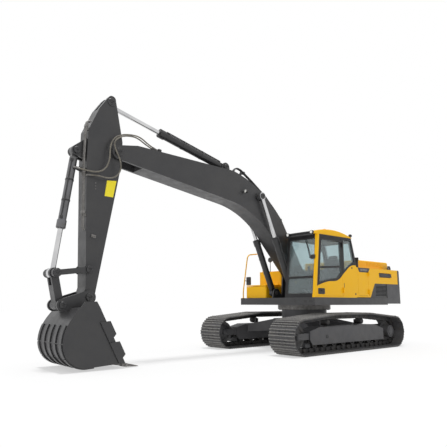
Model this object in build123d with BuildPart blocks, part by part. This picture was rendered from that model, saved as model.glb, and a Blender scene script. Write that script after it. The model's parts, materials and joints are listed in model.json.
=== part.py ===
"""A 30 tonne crawler excavator: tracked undercarriage, slewing upper structure with a cab,
and a boom, arm and bucket worked by hydraulic cylinders.

Millimetres. +X is forward, +Y is left, +Z is up. The origin is on the ground under the slew axis.
"""

import os
from math import atan2, cos, degrees, hypot, pi, radians, sin

from build123d import *

os.makedirs("parts", exist_ok=True)

# Fits and gaps
pin_fit = 0.1           # radial clearance of a pin in its bore
seat_gap = 0.4          # gap between two pieces that sit against each other
move_gap = 6.0          # gap beside a moving piece

# Door and lid hinges
hinge_offset = 24.0     # panel face to hinge axis
hinge_pin_radius = 9.0
knuckle_radius = 20.0
knuckle = 45.0
leaf = 10.0
leaf_length = 58.0

# Undercarriage
track_gauge = 2590.0
shoe_width = 800.0
tumbler_distance = 4000.0       # idler axle to sprocket axle
track_end_radius = 430.0        # axle to the tips of the shoe bars
track_top_height = 965.0        # ground to the tips of the bars over the carrier rollers
bar_height = 30.0               # bars of a track shoe
shoe_plate = 14.0
shoe_count = 48
bars_per_shoe = 3
bar_base = 40.0
loop_sides = 16                 # flats round each end of the chain rails
link_height = 106.0             # chain link between the shoe and the rollers
link_width = 45.0
link_inner = 62.0               # chain centre to the near face of a link
carrier_spacing = 1500.0
carrier_radius = 75.0
carrier_length = 200.0
roller_radius = 95.0
roller_count = 8
roller_span = 2750.0
idler_width = 220.0
idler_flange = 22.0
sprocket_teeth = 21
sprocket_width = 60.0
final_drive_radius = 190.0
final_drive_length = 360.0

frame_half_width = 190.0        # track frame, from its own centre plane
frame_skirt = 25.0
frame_top = 640.0
frame_roof = 347.0              # roof of the channel that the rollers run in
frame_skirt_bottom = 225.0
frame_front = 1600.0
frame_rear = -1640.0
yoke_inner = 126.0
yoke_thickness = 38.0
yoke_height = 150.0

carbody_length = 1440.0
carbody_width = 1040.0
carbody_bottom = 470.0
carbody_top = 800.0
pedestal_radius = 630.0
tow_eye_hole = 40.0
tow_eye_radius = 95.0
tow_eye_plate = 50.0

# Slew ring and upper frame
slew_ring_bottom = 1045.0
slew_ring_radius = 740.0
slew_ring_bore = 520.0
upper_bottom = 1170.0
deck_top = 1360.0
deck_plate = 30.0
skirt_wall = 40.0
upper_half_width = 1440.0
cab_deck_front = 1320.0
right_deck_front = 1120.0
boom_deck_front = 1150.0
boom_bay = 430.0                # half width of the bay between the two front decks
tail_radius = 3120.0
deck_rear = -2050.0

# Boom, arm and bucket pivots in the photographed pose
boom_foot_x = 410.0
boom_foot_z = 1990.0
boom_length = 6200.0
boom_angle = 22.2
arm_length = 3050.0
arm_angle = -80.4
boom_half_width = 250.0
boom_wall = 16.0
boom_foot_radius = 165.0
boom_tip_radius = 150.0
boom_fork_depth = 640.0         # reach of the slot that the arm swings in
arm_half_width = 185.0
arm_wall = 14.0
arm_tip_radius = 125.0
bracket_inner = 256.0           # boom bracket plates on the upper frame
bracket_plate = 39.0
boom_pin_radius = 60.0
cylinder_pin_radius = 50.0
link_pin_radius = 45.0

# Hydraulic cylinders
boom_cylinder_base = (900.0, 1500.0)
boom_cylinder_y = 350.0
boom_cylinder_eye = (2250.0, 1236.0)    # rod pin on the boom, along and above its chord
boom_barrel_length = 1560.0
boom_rod_length = 1860.0
boom_barrel_radius = 85.0
arm_cylinder_base = (3450.0, 1450.0)    # base pin on the boom, along and above its chord
arm_cylinder_eye = (-1025.0, 360.0)     # rod pin on the arm, along and in front of its chord
arm_barrel_length = 2015.0
arm_rod_length = 2500.0
arm_barrel_radius = 92.0
bucket_cylinder_base = (245.0, 825.0)   # base pin on the arm
bucket_barrel_length = 1590.0
bucket_rod_length = 1700.0
bucket_barrel_radius = 78.0
rod_radius = 50.0
barrel_wall = 15.0
eye_radius = 100.0
neck_length = 145.0              # base pin to the start of a barrel
eye_width = 100.0

rocker_pin = (-525.0, 114.0)            # rocker's pin, from the arm's tip along and before its chord
rocker_reach = (-335.0, 721.0)          # pin shared by rocker, link and rod, from the arm's tip
rocker_inner = 205.0
rocker_plate = 36.0
rocker_bar = 52.0                       # half height of a rocker bar
rocker_boss = 85.0
bucket_link_pin = (514.0, -143.0)       # from the bucket's pivot, in the side view
link_half_width = 110.0
link_bar = 72.0
link_boss = 98.0
bucket_width = 1200.0
bucket_side = 30.0
bucket_skin = 28.0
bucket_ear_inner = 192.0
bucket_ear = 46.0
wear_strip = 22.0                       # thickness of the strips round the bucket's heel
wear_width = 90.0
wear_pitch = 262.0
wear_count = 5
wear_gap = 16.0                         # gap between two plates of one strip
wear_gap_turns = (-68.0, -36.0, -4.0)   # directions of the gaps, seen from the heel's centre
cutter = 26.0                           # thickness of the side cutters
cutter_width = 190.0
cutter_length = 430.0
cutter_step = -30.0
cutter_places = (0.24, 0.6)

# Cab
cab_right = 460.0
cab_left = upper_half_width - 5
cab_floor = 1362.0
cab_wall = 60.0
cab_front_bottom = 1320.0
cab_front_top = 1130.0
cab_rear = -520.0
cab_shoulder = 2330.0
cab_rear_top = -330.0
cab_top = 2965.0
roof_thickness = 60.0            # at the front edge
roof_crown = 162.0               # rise of the roof's highest line over the cab
glass = 10.0
pillar = 70.0
door_front_inset = 95.0
door_rear = 120.0
door_bottom = 1400.0
door_top = 2895.0
door_open = 165.0
door_rail = 50.0                # bar across the door's window
rail_front = 2110.0
rail_rear = 2170.0

# Lamps, mirrors and lines
lamp_radius = 46.0
lamp_depth = 62.0
lamp_wall = 6.0
lens_depth = 16.0
roof_lamps = (600.0, 1385.0)            # Y of the lamps on the roof's front edge
boom_lamp_place = (2743.0, 1098.0)      # along and above the boom's chord
boom_lamp_y = 330.0
mirror_size = (50.0, 150.0, 240.0)
mirror_place = (800.0, -1435.0, 1870.0)
round_mirror_place = (-60.0, -1350.0, 2548.0)
round_mirror_radius = 75.0
stem_radius = 11.0
line_radius = 17.0
line_sides = 6
line_spacing = 48.0
clamp_length = 60.0
boom_lines_y = 140.0
arm_lines_y = 148.0

# Body panels
panel = 30.0
slat = 16.0                     # open gap of a louvre
slat_pitch = 38.0
slat_margin = 40.0
panel_bottom = 1375.0
panel_top = 2190.0
panel_split = 1770.0
panel_rear = -2680.0
grille_front_low = -1170.0
grille_front_high = -1420.0
hood_front = -1300.0
hood_rear = -2950.0
hood_half_width = 990.0
hood_top = 2470.0
hood_slots = 11
hood_slot_pitch = 75.0
hood_slot_height = 130.0
tank_front = 350.0
tank_rear = -900.0
tank_top = 2150.0
tank_left = -520.0
box_front = 1010.0
box_top = 1730.0
box_right = -1330.0


def side_plane(y=0.0):
    """Plane of a side view: sketch x is X, sketch y is Z, and its normal is -Y."""
    return Plane(origin=(0, y, 0), x_dir=(1, 0, 0), z_dir=(0, -1, 0))


def along(origin, angle, point):
    """A point given along and to the left of a chord from origin, as X and Z."""
    c, s = cos(radians(angle)), sin(radians(angle))
    return (origin[0] + point[0] * c - point[1] * s, origin[1] + point[0] * s + point[1] * c)


def finish(piece, name):
    """Label a piece and write its STEP file."""
    piece.part.label = name
    export_step(piece.part, f"parts/{name}.step")


def angle_of(a, b):
    """Direction from a to b in the side view, in degrees."""
    return degrees(atan2(b[1] - a[1], b[0] - a[0]))


def make_hinge(plane, fixed_up=False, moving_up=False):
    """Fixed and moving halves of a leaf hinge.

    The plane's z is the hinge axis, its x points to the moving side and its y out of the panel.
    A half that is up has its leaf on an upright face beside the axis.
    """
    leaf_middle = leaf_length / 2 + 2
    with BuildPart(plane) as fixed:
        for end in (1, -1):
            with BuildSketch(plane.offset(end * (knuckle + seat_gap))):
                RegularPolygon(knuckle_radius, 8)
            extrude(amount=knuckle / 2, both=True)
        if fixed_up:
            with Locations((-hinge_offset + (leaf + seat_gap) / 2, leaf_length / 2, 0)):
                Box(leaf - seat_gap, leaf_length, 3 * knuckle)
        else:
            with Locations((-leaf_middle, -hinge_offset + (leaf + seat_gap) / 2, 0)):
                Box(leaf_length, leaf - seat_gap, 3 * knuckle)
        Cylinder(knuckle_radius + move_gap, knuckle + 2 * seat_gap, mode=Mode.SUBTRACT)
        Cylinder(hinge_pin_radius, 3 * knuckle)
    with BuildPart(plane) as moving:
        Cylinder(knuckle_radius, knuckle)
        if moving_up:
            with Locations((hinge_offset - leaf / 2 + 1, leaf_length / 2, 0)):
                Box(leaf + 2, leaf_length, knuckle)
        else:
            with Locations((leaf_middle, -hinge_offset + leaf / 2 - 1, 0)):
                Box(leaf_length, leaf + 2, knuckle)
        Cylinder(hinge_pin_radius + pin_fit, 3 * knuckle, mode=Mode.SUBTRACT)
    return fixed.part, moving.part


def upright_hinges(x, side, heights):
    """Hinges with upright axes on one side of the body, as fixed and moving halves."""
    y = side * (upper_half_width - 5 + hinge_offset)
    planes = [Plane(origin=(x, y, z), x_dir=(1, 0, 0), z_dir=(0, 0, side)) for z in heights]
    return [make_hinge(plane) for plane in planes]


boom_foot = (boom_foot_x, boom_foot_z)
boom_tip = along(boom_foot, boom_angle, (boom_length, 0))
arm_tip = along(boom_tip, arm_angle, (arm_length, 0))
boom_eye = along(boom_foot, boom_angle, boom_cylinder_eye)
arm_base = along(boom_foot, boom_angle, arm_cylinder_base)
arm_eye = along(boom_tip, arm_angle, arm_cylinder_eye)
bucket_base = along(boom_tip, arm_angle, bucket_cylinder_base)
rocker_pivot = along(arm_tip, arm_angle, rocker_pin)
rocker_end = along(arm_tip, arm_angle, rocker_reach)
link_pivot = (arm_tip[0] + bucket_link_pin[0], arm_tip[1] + bucket_link_pin[1])
track_thickness = bar_height + shoe_plate + link_height
axle_z = track_end_radius
chain_radius = track_end_radius - track_thickness
half_gauge = track_gauge / 2
idler_x = tumbler_distance / 2


# Tracks: a belt of shoes with two chain rails inside it
def loop_face(inset, flats=True):
    """Side view of the closed track path, drawn in from the tips of the shoe bars.

    With flats, the ends are drawn as polygons, as the chain's links lie round a wheel.
    """
    top_radius = carrier_radius + track_thickness
    top_z = track_top_height - top_radius
    ends = [(idler_x, axle_z, track_end_radius), (-idler_x, axle_z, track_end_radius)]
    tops = [(carrier_spacing / 2, top_z, top_radius), (-carrier_spacing / 2, top_z, top_radius)]
    with BuildSketch() as face:
        for x, z, radius in ends + tops:
            with Locations((x, z)):
                if flats:
                    RegularPolygon(radius - inset, loop_sides, major_radius=False, rotation=180 / loop_sides)
                else:
                    Circle(radius - inset)
        make_hull()
    return face.sketch


def shoe_belt_face():
    """Side view of the belt of shoes, each with its bars, along the closed path."""
    path = loop_face(bar_height, flats=False).wire()
    pitch = path.length / shoe_count
    outline = []
    for i in range(shoe_count):
        centre = path.position_at((i + 0.5) * pitch, position_mode=PositionMode.LENGTH)
        travel = path.tangent_at((i + 0.5) * pitch, position_mode=PositionMode.LENGTH)
        outward = Vector(travel.Y, -travel.X)
        for bar in range(bars_per_shoe):
            middle = (bar - (bars_per_shoe - 1) / 2) * pitch / bars_per_shoe
            steps = ((-bar_base / 2, 0), (0, bar_height), (bar_base / 2, 0))
            outline += [centre + travel * (middle + t) + outward * n for t, n in steps]
    with BuildSketch() as face:
        with BuildLine():
            Polyline(*[(p.X, max(p.Y, 0.0)) for p in outline], close=True)
        make_face()
        add(loop_face(bar_height + shoe_plate), mode=Mode.SUBTRACT)
    return face.sketch


shoe_belt = shoe_belt_face()


def make_track(name, side):
    y = side * half_gauge
    with BuildPart() as track:
        with BuildSketch(side_plane(y)):
            add(shoe_belt)
        extrude(amount=shoe_width / 2, both=True)
        for rail in (-1, 1):
            with BuildSketch(side_plane(y + rail * (link_inner + link_width / 2))):
                add(loop_face(bar_height + 0.75 * shoe_plate))
                add(loop_face(track_thickness), mode=Mode.SUBTRACT)
            extrude(amount=link_width / 2, both=True)
    finish(track, name)


make_track("track_left", 1)
make_track("track_right", -1)

# Track frames: inverted channel beams with a yoke for the idler, a plate for the final drive
# and posts for the carrier rollers
carrier_z = track_top_height - track_thickness - carrier_radius - seat_gap
with BuildPart() as track_frames:
    for side in (1, -1):
        y = side * half_gauge
        with BuildSketch(side_plane(y)):
            with BuildLine():
                Polyline(
                    (frame_rear, frame_skirt_bottom),
                    (frame_front - 90, frame_skirt_bottom),
                    (frame_front, frame_roof),
                    (frame_front, frame_top - 90),
                    (frame_front - 380, frame_top),
                    (frame_rear + 420, frame_top),
                    (frame_rear, frame_top - 120),
                    close=True,
                )
            make_face()
        extrude(amount=frame_half_width, both=True)
        with BuildSketch(side_plane(y)):
            with Locations(((frame_front + frame_rear) / 2, frame_roof)):
                Rectangle(frame_front - frame_rear + 200, frame_roof, align=(Align.CENTER, Align.MAX))
        extrude(amount=frame_half_width - frame_skirt, both=True, mode=Mode.SUBTRACT)
        for arm_side in (1, -1):
            yoke_y = y + arm_side * (yoke_inner + yoke_thickness / 2)
            with BuildSketch(side_plane(yoke_y)):
                with Locations((idler_x, axle_z)):
                    Circle(yoke_height / 2)
                with Locations(((idler_x + frame_front) / 2 - 60, axle_z)):
                    Rectangle(idler_x - frame_front + 120, yoke_height)
            extrude(amount=yoke_thickness / 2, both=True)
        drive_y = y - side * (frame_half_width - frame_skirt / 2)
        with BuildSketch(side_plane(drive_y)):
            with Locations((-idler_x, axle_z), (frame_rear + 100, axle_z)):
                Circle(final_drive_radius)
            make_hull()
        extrude(amount=frame_skirt / 2, both=True)
        for x in (-carrier_spacing / 2, carrier_spacing / 2):
            post_y = y - side * (carrier_length / 2 + 20)
            with BuildSketch(Plane.XY.offset(frame_top - 1)):
                with Locations((x, post_y)):
                    Rectangle(110, 40)
            extrude(amount=carrier_z - frame_top + 45)
finish(track_frames, "track_frames")

# Idlers: flanged wheels on the yokes
with BuildPart() as idlers:
    for side in (1, -1):
        with BuildSketch(Plane.XY.offset(axle_z)):
            with BuildLine():
                Polyline(
                    (idler_x, side * half_gauge - yoke_inner + seat_gap),
                    (idler_x + 70, side * half_gauge - yoke_inner + seat_gap),
                    (idler_x + chain_radius - 60, side * half_gauge - 60),
                    (idler_x + chain_radius - seat_gap, side * half_gauge - idler_width / 2),
                    (idler_x + chain_radius - seat_gap, side * half_gauge - link_inner + 8),
                    (idler_x + chain_radius + idler_flange, side * half_gauge - link_inner + 8),
                    (idler_x + chain_radius + idler_flange, side * half_gauge + link_inner - 8),
                    (idler_x + chain_radius - seat_gap, side * half_gauge + link_inner - 8),
                    (idler_x + chain_radius - seat_gap, side * half_gauge + idler_width / 2),
                    (idler_x + chain_radius - 60, side * half_gauge + 60),
                    (idler_x + 70, side * half_gauge + yoke_inner - seat_gap),
                    (idler_x, side * half_gauge + yoke_inner - seat_gap),
                    close=True,
                )
            make_face()
        revolve(axis=Axis((idler_x, 0, axle_z), (0, 1, 0)))
finish(idlers, "idlers")

# Sprockets: toothed wheels on the final drives
with BuildPart() as sprockets:
    for side in (1, -1):
        y = side * half_gauge
        with BuildSketch(side_plane(y)):
            with Locations((-idler_x, axle_z)):
                Circle(chain_radius - 25)
                with PolarLocations(chain_radius - 10, sprocket_teeth):
                    Trapezoid(60, 46, 68, rotation=-90)
        extrude(amount=sprocket_width / 2, both=True)
        inner_face = y - side * (frame_half_width - frame_skirt - seat_gap)
        with BuildSketch(side_plane(inner_face)):
            with Locations((-idler_x, axle_z)):
                Circle(final_drive_radius - 20)
        extrude(amount=-side * final_drive_length)
finish(sprockets, "sprockets")

# Bottom rollers in the frame channels
roller_z = track_thickness + roller_radius + seat_gap
with BuildPart() as bottom_rollers:
    for side in (1, -1):
        for i in range(roller_count):
            x = -roller_span / 2 + i * roller_span / (roller_count - 1)
            with Locations((x, side * half_gauge, roller_z)):
                Cylinder(roller_radius, 2 * (frame_half_width - frame_skirt - seat_gap), rotation=(90, 0, 0))
finish(bottom_rollers, "bottom_rollers")

# Carrier rollers under the top run
with BuildPart() as carrier_rollers:
    for side in (1, -1):
        for x in (-carrier_spacing / 2, carrier_spacing / 2):
            with Locations((x, side * half_gauge, carrier_z)):
                Cylinder(carrier_radius, carrier_length, rotation=(90, 0, 0))
finish(carrier_rollers, "carrier_rollers")

# Carbody: centre box and slew pedestal on four legs that reach the track frames
frame_inner_face = half_gauge - frame_half_width
with BuildPart() as carbody:
    with BuildSketch(Plane.XY.offset(carbody_bottom)):
        Rectangle(carbody_length, carbody_width)
    extrude(amount=carbody_top - carbody_bottom)
    with BuildSketch(Plane.XY.offset(carbody_bottom)):
        Circle(pedestal_radius)
    extrude(amount=slew_ring_bottom - seat_gap - carbody_bottom)
    for side in (1, -1):
        for end in (1, -1):
            with BuildSketch(side_plane(side * (carbody_width / 2 - 100))):
                with Locations((end * (carbody_length / 2 - 290), (carbody_bottom + carbody_top) / 2)):
                    Rectangle(560, carbody_top - carbody_bottom)
            with BuildSketch(side_plane(side * frame_inner_face)):
                with Locations((end * 860, 530)):
                    Rectangle(600, 210)
            loft()
finish(carbody, "carbody")

# Tow eyes on the front and rear of the carbody
tow_eye_x = carbody_length / 2 + tow_eye_radius
with BuildPart() as tow_eyes:
    for end in (1, -1):
        with BuildSketch(side_plane()):
            with Locations((end * tow_eye_x, 620)):
                Circle(tow_eye_radius)
            with Locations((end * (carbody_length / 2 + tow_eye_radius / 2), 620)):
                Rectangle(tow_eye_radius, 2 * tow_eye_radius)
            with Locations((end * tow_eye_x, 620)):
                Circle(tow_eye_hole, mode=Mode.SUBTRACT)
        extrude(amount=tow_eye_plate / 2, both=True)
finish(tow_eyes, "tow_eyes")

# Slew ring, bolted under the upper frame and running on the pedestal
with BuildPart() as slew_ring:
    with BuildSketch(Plane.XY.offset(slew_ring_bottom)):
        Circle(slew_ring_radius)
        Circle(slew_ring_bore, mode=Mode.SUBTRACT)
    extrude(amount=upper_bottom - slew_ring_bottom)
finish(slew_ring, "slew_ring")

# Upper frame: a deck with skirts, open below, and two plates that carry the boom
with BuildPart() as upper_frame:
    with BuildSketch(Plane.XY.offset(upper_bottom)) as deck:
        with BuildLine():
            Polyline(
                (deck_rear, upper_half_width),
                (cab_deck_front, upper_half_width),
                (cab_deck_front, boom_bay),
                (boom_deck_front, boom_bay),
                (boom_deck_front, -boom_bay),
                (right_deck_front, -boom_bay),
                (right_deck_front, -upper_half_width),
                (deck_rear, -upper_half_width),
                close=True,
            )
        make_face()
    extrude(amount=deck_top - upper_bottom)
    with BuildSketch(Plane.XY.offset(upper_bottom)):
        offset(deck.sketch, amount=-skirt_wall)
        Circle(slew_ring_radius + 60, mode=Mode.SUBTRACT)
    extrude(amount=deck_top - upper_bottom - deck_plate, mode=Mode.SUBTRACT)
    for side in (1, -1):
        with BuildSketch(side_plane(side * (bracket_inner + bracket_plate / 2))):
            with Locations(boom_foot):
                Circle(boom_foot_radius + 5)
            with Locations((150, deck_top - deck_plate / 2)):
                Rectangle(980, deck_plate)
            make_hull()
            with Locations(boom_foot):
                Circle(boom_pin_radius + pin_fit, mode=Mode.SUBTRACT)
        extrude(amount=bracket_plate / 2, both=True)
        with BuildSketch(side_plane(side * (bracket_inner - bracket_plate / 2))):
            with Locations(boom_cylinder_base):
                Circle(eye_radius + 20)
            with Locations((boom_cylinder_base[0] - 60, deck_top - deck_plate / 2)):
                Rectangle(420, deck_plate)
            make_hull()
            with Locations(boom_cylinder_base):
                Circle(cylinder_pin_radius + pin_fit, mode=Mode.SUBTRACT)
        extrude(amount=bracket_plate / 2, both=True)
finish(upper_frame, "upper_frame")

# Pins in the boom plates: the boom foot pin and the two cylinder base pins
pin_reach = boom_cylinder_y + eye_width / 2 + 12
with BuildPart() as upper_pins:
    with BuildSketch(side_plane()):
        with Locations(boom_foot):
            Circle(boom_pin_radius)
    extrude(amount=bracket_inner + bracket_plate + 12, both=True)
    for side in (1, -1):
        with BuildSketch(side_plane(side * (bracket_inner - bracket_plate - 12))):
            with Locations(boom_cylinder_base):
                Circle(cylinder_pin_radius)
        extrude(amount=-side * (pin_reach - bracket_inner + bracket_plate + 12))
finish(upper_pins, "upper_pins")


# Boom: a cranked box beam with a fork at its tip
def boom_point(u, v):
    return along(boom_foot, boom_angle, (u, v))


with BuildPart() as boom:
    with BuildSketch(side_plane()) as boom_outline:
        with BuildLine():
            low_a = boom_point(60, -boom_foot_radius * 0.93)
            low_b = boom_point(1560, 520)
            low_c = boom_point(2350, 700)
            low_d = boom_point(3050, 640)
            low_e = boom_point(boom_length - 60, -boom_tip_radius * 0.92)
            top_a = boom_point(boom_length + 83, boom_tip_radius * 0.83)
            shoulder = boom_point(5880, 385)
            top_b = boom_point(3300, 1400)
            top_c = boom_point(2350, 1425)
            top_d = boom_point(1250, 1080)
            top_e = boom_point(-100, boom_foot_radius * 0.8)
            Line(low_a, low_b)
            ThreePointArc(low_b, low_c, low_d)
            Line(low_d, low_e)
            ThreePointArc(low_e, boom_point(boom_length + boom_tip_radius, 0), top_a)
            Line(top_a, shoulder)
            Line(shoulder, top_b)
            ThreePointArc(top_b, top_c, top_d)
            Line(top_d, top_e)
            ThreePointArc(top_e, boom_point(-boom_foot_radius * 0.85, -boom_foot_radius * 0.53), low_a)
        make_face()
    extrude(amount=boom_half_width, both=True)
    with BuildSketch(side_plane()):
        offset(boom_outline.sketch, amount=-boom_wall)
        with Locations(boom_foot):
            Circle(boom_foot_radius + 60, mode=Mode.SUBTRACT)
        with Locations(boom_tip):
            Circle(boom_fork_depth + 40, mode=Mode.SUBTRACT)
        with Locations(boom_eye):
            Circle(eye_radius + 30, mode=Mode.SUBTRACT)
    extrude(amount=boom_half_width - boom_wall, both=True, mode=Mode.SUBTRACT)
    with BuildSketch(side_plane()):
        with Locations(boom_tip):
            Circle(boom_fork_depth)
    extrude(amount=arm_half_width + 10, both=True, mode=Mode.SUBTRACT)
    for side in (1, -1):
        with BuildSketch(side_plane(side * (boom_half_width - 1))):
            with Locations(boom_eye):
                Circle(eye_radius + 10)
        extrude(amount=-side * (boom_cylinder_y - eye_width / 2 - move_gap - boom_half_width + 1))
        with BuildSketch(side_plane(side * (eye_width / 2 + 10 + 25))):
            with Locations(arm_base):
                Circle(eye_radius + 15)
            with Locations(boom_point(arm_cylinder_base[0] - 130, arm_cylinder_base[1] - 330)):
                Rectangle(360, 60, rotation=boom_angle - 17)
            make_hull()
        extrude(amount=25, both=True)
    with BuildSketch(side_plane()):
        with Locations(boom_foot):
            Circle(boom_pin_radius + pin_fit)
        with Locations(boom_tip):
            Circle(boom_pin_radius + pin_fit)
        with Locations(arm_base):
            Circle(cylinder_pin_radius + pin_fit)
    extrude(amount=boom_half_width + 50, both=True, mode=Mode.SUBTRACT)
finish(boom, "boom")

with BuildPart() as boom_pins:
    with BuildSketch(side_plane()):
        with Locations(boom_tip):
            Circle(boom_pin_radius)
    extrude(amount=boom_half_width + 20, both=True)
    with BuildSketch(side_plane()):
        with Locations(arm_base):
            Circle(cylinder_pin_radius)
    extrude(amount=eye_width / 2 + 75, both=True)
finish(boom_pins, "boom_pins")


# Hydraulic cylinders: a barrel with a base eye and gland, and a rod with a piston and an eye
def axis_plane(base, angle, y):
    """Plane at a cylinder's base pin with its normal along the cylinder."""
    direction = (cos(radians(angle)), 0, sin(radians(angle)))
    return Plane(origin=(base[0], y, base[1]), x_dir=(0, 1, 0), z_dir=direction)


def make_barrel(base, eye, y, radius, length):
    """A cylinder's barrel, from its base eye to its gland."""
    axis = axis_plane(base, angle_of(base, eye), y)
    with BuildPart() as barrel:
        with BuildSketch(axis.offset(neck_length)):
            Circle(radius)
        extrude(amount=length - 120 - neck_length)
        with BuildSketch(axis):
            Rectangle(eye_width, 1.6 * radius)
        extrude(amount=neck_length + 20)
        with BuildSketch(axis.offset(length - 140)):
            Circle(radius + 14)
        extrude(amount=140)
        with BuildSketch(side_plane(y)):
            with Locations(base):
                Circle(eye_radius)
        extrude(amount=eye_width / 2, both=True)
        with BuildSketch(axis.offset(neck_length + 25)):
            Circle(radius - barrel_wall)
        extrude(amount=length - neck_length - 105, mode=Mode.SUBTRACT)
        with BuildSketch(axis.offset(length - 200)):
            Circle(rod_radius + seat_gap)
        extrude(amount=300, mode=Mode.SUBTRACT)
        with BuildSketch(side_plane(y)):
            with Locations(base):
                Circle(cylinder_pin_radius + pin_fit)
        extrude(amount=eye_width, both=True, mode=Mode.SUBTRACT)
    return barrel.part


def make_rod(base, eye, y, radius, length):
    """A cylinder's rod, from its eye back to its piston."""
    axis = axis_plane(eye, angle_of(base, eye) + 180, y)
    with BuildPart() as rod:
        with BuildSketch(axis):
            Circle(rod_radius)
        extrude(amount=length)
        with BuildSketch(axis.offset(length - 70)):
            Circle(radius - barrel_wall - seat_gap)
        extrude(amount=70)
        with BuildSketch(side_plane(y)):
            with Locations(eye):
                Circle(eye_radius)
        extrude(amount=eye_width / 2, both=True)
    return rod.part


boom_ends = (boom_cylinder_base, boom_eye)
boom_barrel_pair = [
    make_barrel(*boom_ends, y, boom_barrel_radius, boom_barrel_length)
    for y in (boom_cylinder_y, -boom_cylinder_y)
]
boom_rod_pair = [
    make_rod(*boom_ends, y, boom_barrel_radius, boom_rod_length)
    for y in (boom_cylinder_y, -boom_cylinder_y)
]
with BuildPart() as boom_barrels:
    add(boom_barrel_pair)
finish(boom_barrels, "boom_barrels")

with BuildPart() as boom_rods:
    add(boom_rod_pair)
finish(boom_rods, "boom_rods")

arm_barrel_body = make_barrel(arm_base, arm_eye, 0, arm_barrel_radius, arm_barrel_length)
with BuildPart() as arm_barrel:
    add(arm_barrel_body)
finish(arm_barrel, "arm_barrel")

arm_rod_body = make_rod(arm_base, arm_eye, 0, arm_barrel_radius, arm_rod_length)
with BuildPart() as arm_rod:
    add(arm_rod_body)
finish(arm_rod, "arm_rod")

bucket_barrel_body = make_barrel(bucket_base, rocker_end, 0, bucket_barrel_radius, bucket_barrel_length)
with BuildPart() as bucket_barrel:
    add(bucket_barrel_body)
finish(bucket_barrel, "bucket_barrel")

bucket_rod_body = make_rod(bucket_base, rocker_end, 0, bucket_barrel_radius, bucket_rod_length)
with BuildPart() as bucket_rod:
    add(bucket_rod_body)
finish(bucket_rod, "bucket_rod")


# Arm: a tapered box beam with a head for its cylinder and lugs for the bucket cylinder
def arm_point(u, v):
    return along(boom_tip, arm_angle, (u, v))


with BuildPart() as arm:
    with BuildSketch(side_plane()) as arm_outline:
        with BuildLine():
            rear_top = arm_point(-1090, 270)
            rear_mid = arm_point(-274, -58)
            rear_low = arm_point(120, -137)
            rear_tip = arm_point(arm_length - 20, -arm_tip_radius)
            front_tip = arm_point(arm_length + 30, arm_tip_radius * 0.95)
            front_low = arm_point(arm_length - 180, 95)
            front_mid = arm_point(380, 620)
            front_high = arm_point(-250, 715)
            front_head = arm_point(-800, 585)
            front_top = arm_point(-1115, 445)
            Line(rear_top, rear_mid)
            Line(rear_mid, rear_low)
            Line(rear_low, rear_tip)
            ThreePointArc(rear_tip, arm_point(arm_length + arm_tip_radius, 0), front_tip)
            Line(front_tip, front_low)
            Line(front_low, front_mid)
            Line(front_mid, front_high)
            Line(front_high, front_head)
            Line(front_head, front_top)
            ThreePointArc(front_top, arm_point(-1170, 350), rear_top)
        make_face()
    extrude(amount=arm_half_width, both=True)
    with BuildSketch(side_plane()):
        offset(arm_outline.sketch, amount=-arm_wall)
        with Locations(boom_tip):
            Circle(boom_foot_radius + 30, mode=Mode.SUBTRACT)
        with Locations(arm_eye):
            Circle(420, mode=Mode.SUBTRACT)
        with Locations(arm_tip):
            Circle(300, mode=Mode.SUBTRACT)
        with Locations(rocker_pivot):
            Circle(110, mode=Mode.SUBTRACT)
    extrude(amount=arm_half_width - arm_wall, both=True, mode=Mode.SUBTRACT)
    with BuildSketch(side_plane()):
        with Locations(arm_eye):
            Circle(330)
    extrude(amount=eye_width / 2 + 20, both=True, mode=Mode.SUBTRACT)
    for side in (1, -1):
        with BuildSketch(side_plane(side * (eye_width / 2 + 10 + 22))):
            with Locations(bucket_base):
                Circle(eye_radius + 5)
            with Locations(arm_point(110, 560)):
                Rectangle(520, 60, rotation=arm_angle - 9)
            make_hull()
        extrude(amount=22, both=True)
        with BuildSketch(side_plane(side * (arm_half_width - 1))):
            with Locations(rocker_pivot):
                Circle(95)
        extrude(amount=-side * (rocker_inner - move_gap - arm_half_width + 1))
    with BuildSketch(side_plane()):
        with Locations(boom_tip):
            Circle(boom_pin_radius + pin_fit)
        with Locations(bucket_base):
            Circle(cylinder_pin_radius + pin_fit)
        with Locations(arm_tip, rocker_pivot):
            Circle(link_pin_radius + pin_fit)
    extrude(amount=arm_half_width + 80, both=True, mode=Mode.SUBTRACT)
finish(arm, "arm")

with BuildPart() as arm_pins:
    with BuildSketch(side_plane()):
        with Locations(bucket_base):
            Circle(cylinder_pin_radius)
    extrude(amount=eye_width / 2 + 70, both=True)
    with BuildSketch(side_plane()):
        with Locations(rocker_pivot):
            Circle(link_pin_radius)
    extrude(amount=rocker_inner + rocker_plate + 12, both=True)
finish(arm_pins, "arm_pins")

# Rocker: two bars beside the arm
with BuildPart() as rocker:
    for side in (1, -1):
        with BuildSketch(side_plane(side * (rocker_inner + rocker_plate / 2))):
            with Locations(rocker_pivot, rocker_end):
                Circle(rocker_bar)
            make_hull()
            with Locations(rocker_pivot, rocker_end):
                Circle(rocker_boss)
            with Locations(rocker_pivot):
                Circle(link_pin_radius + pin_fit, mode=Mode.SUBTRACT)
        extrude(amount=rocker_plate / 2, both=True)
        with BuildSketch(side_plane(side * (rocker_inner + 1))):
            with Locations(rocker_end):
                Circle(80)
        extrude(amount=side * (rocker_inner + 1 - link_half_width - move_gap))
finish(rocker, "rocker")

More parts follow.
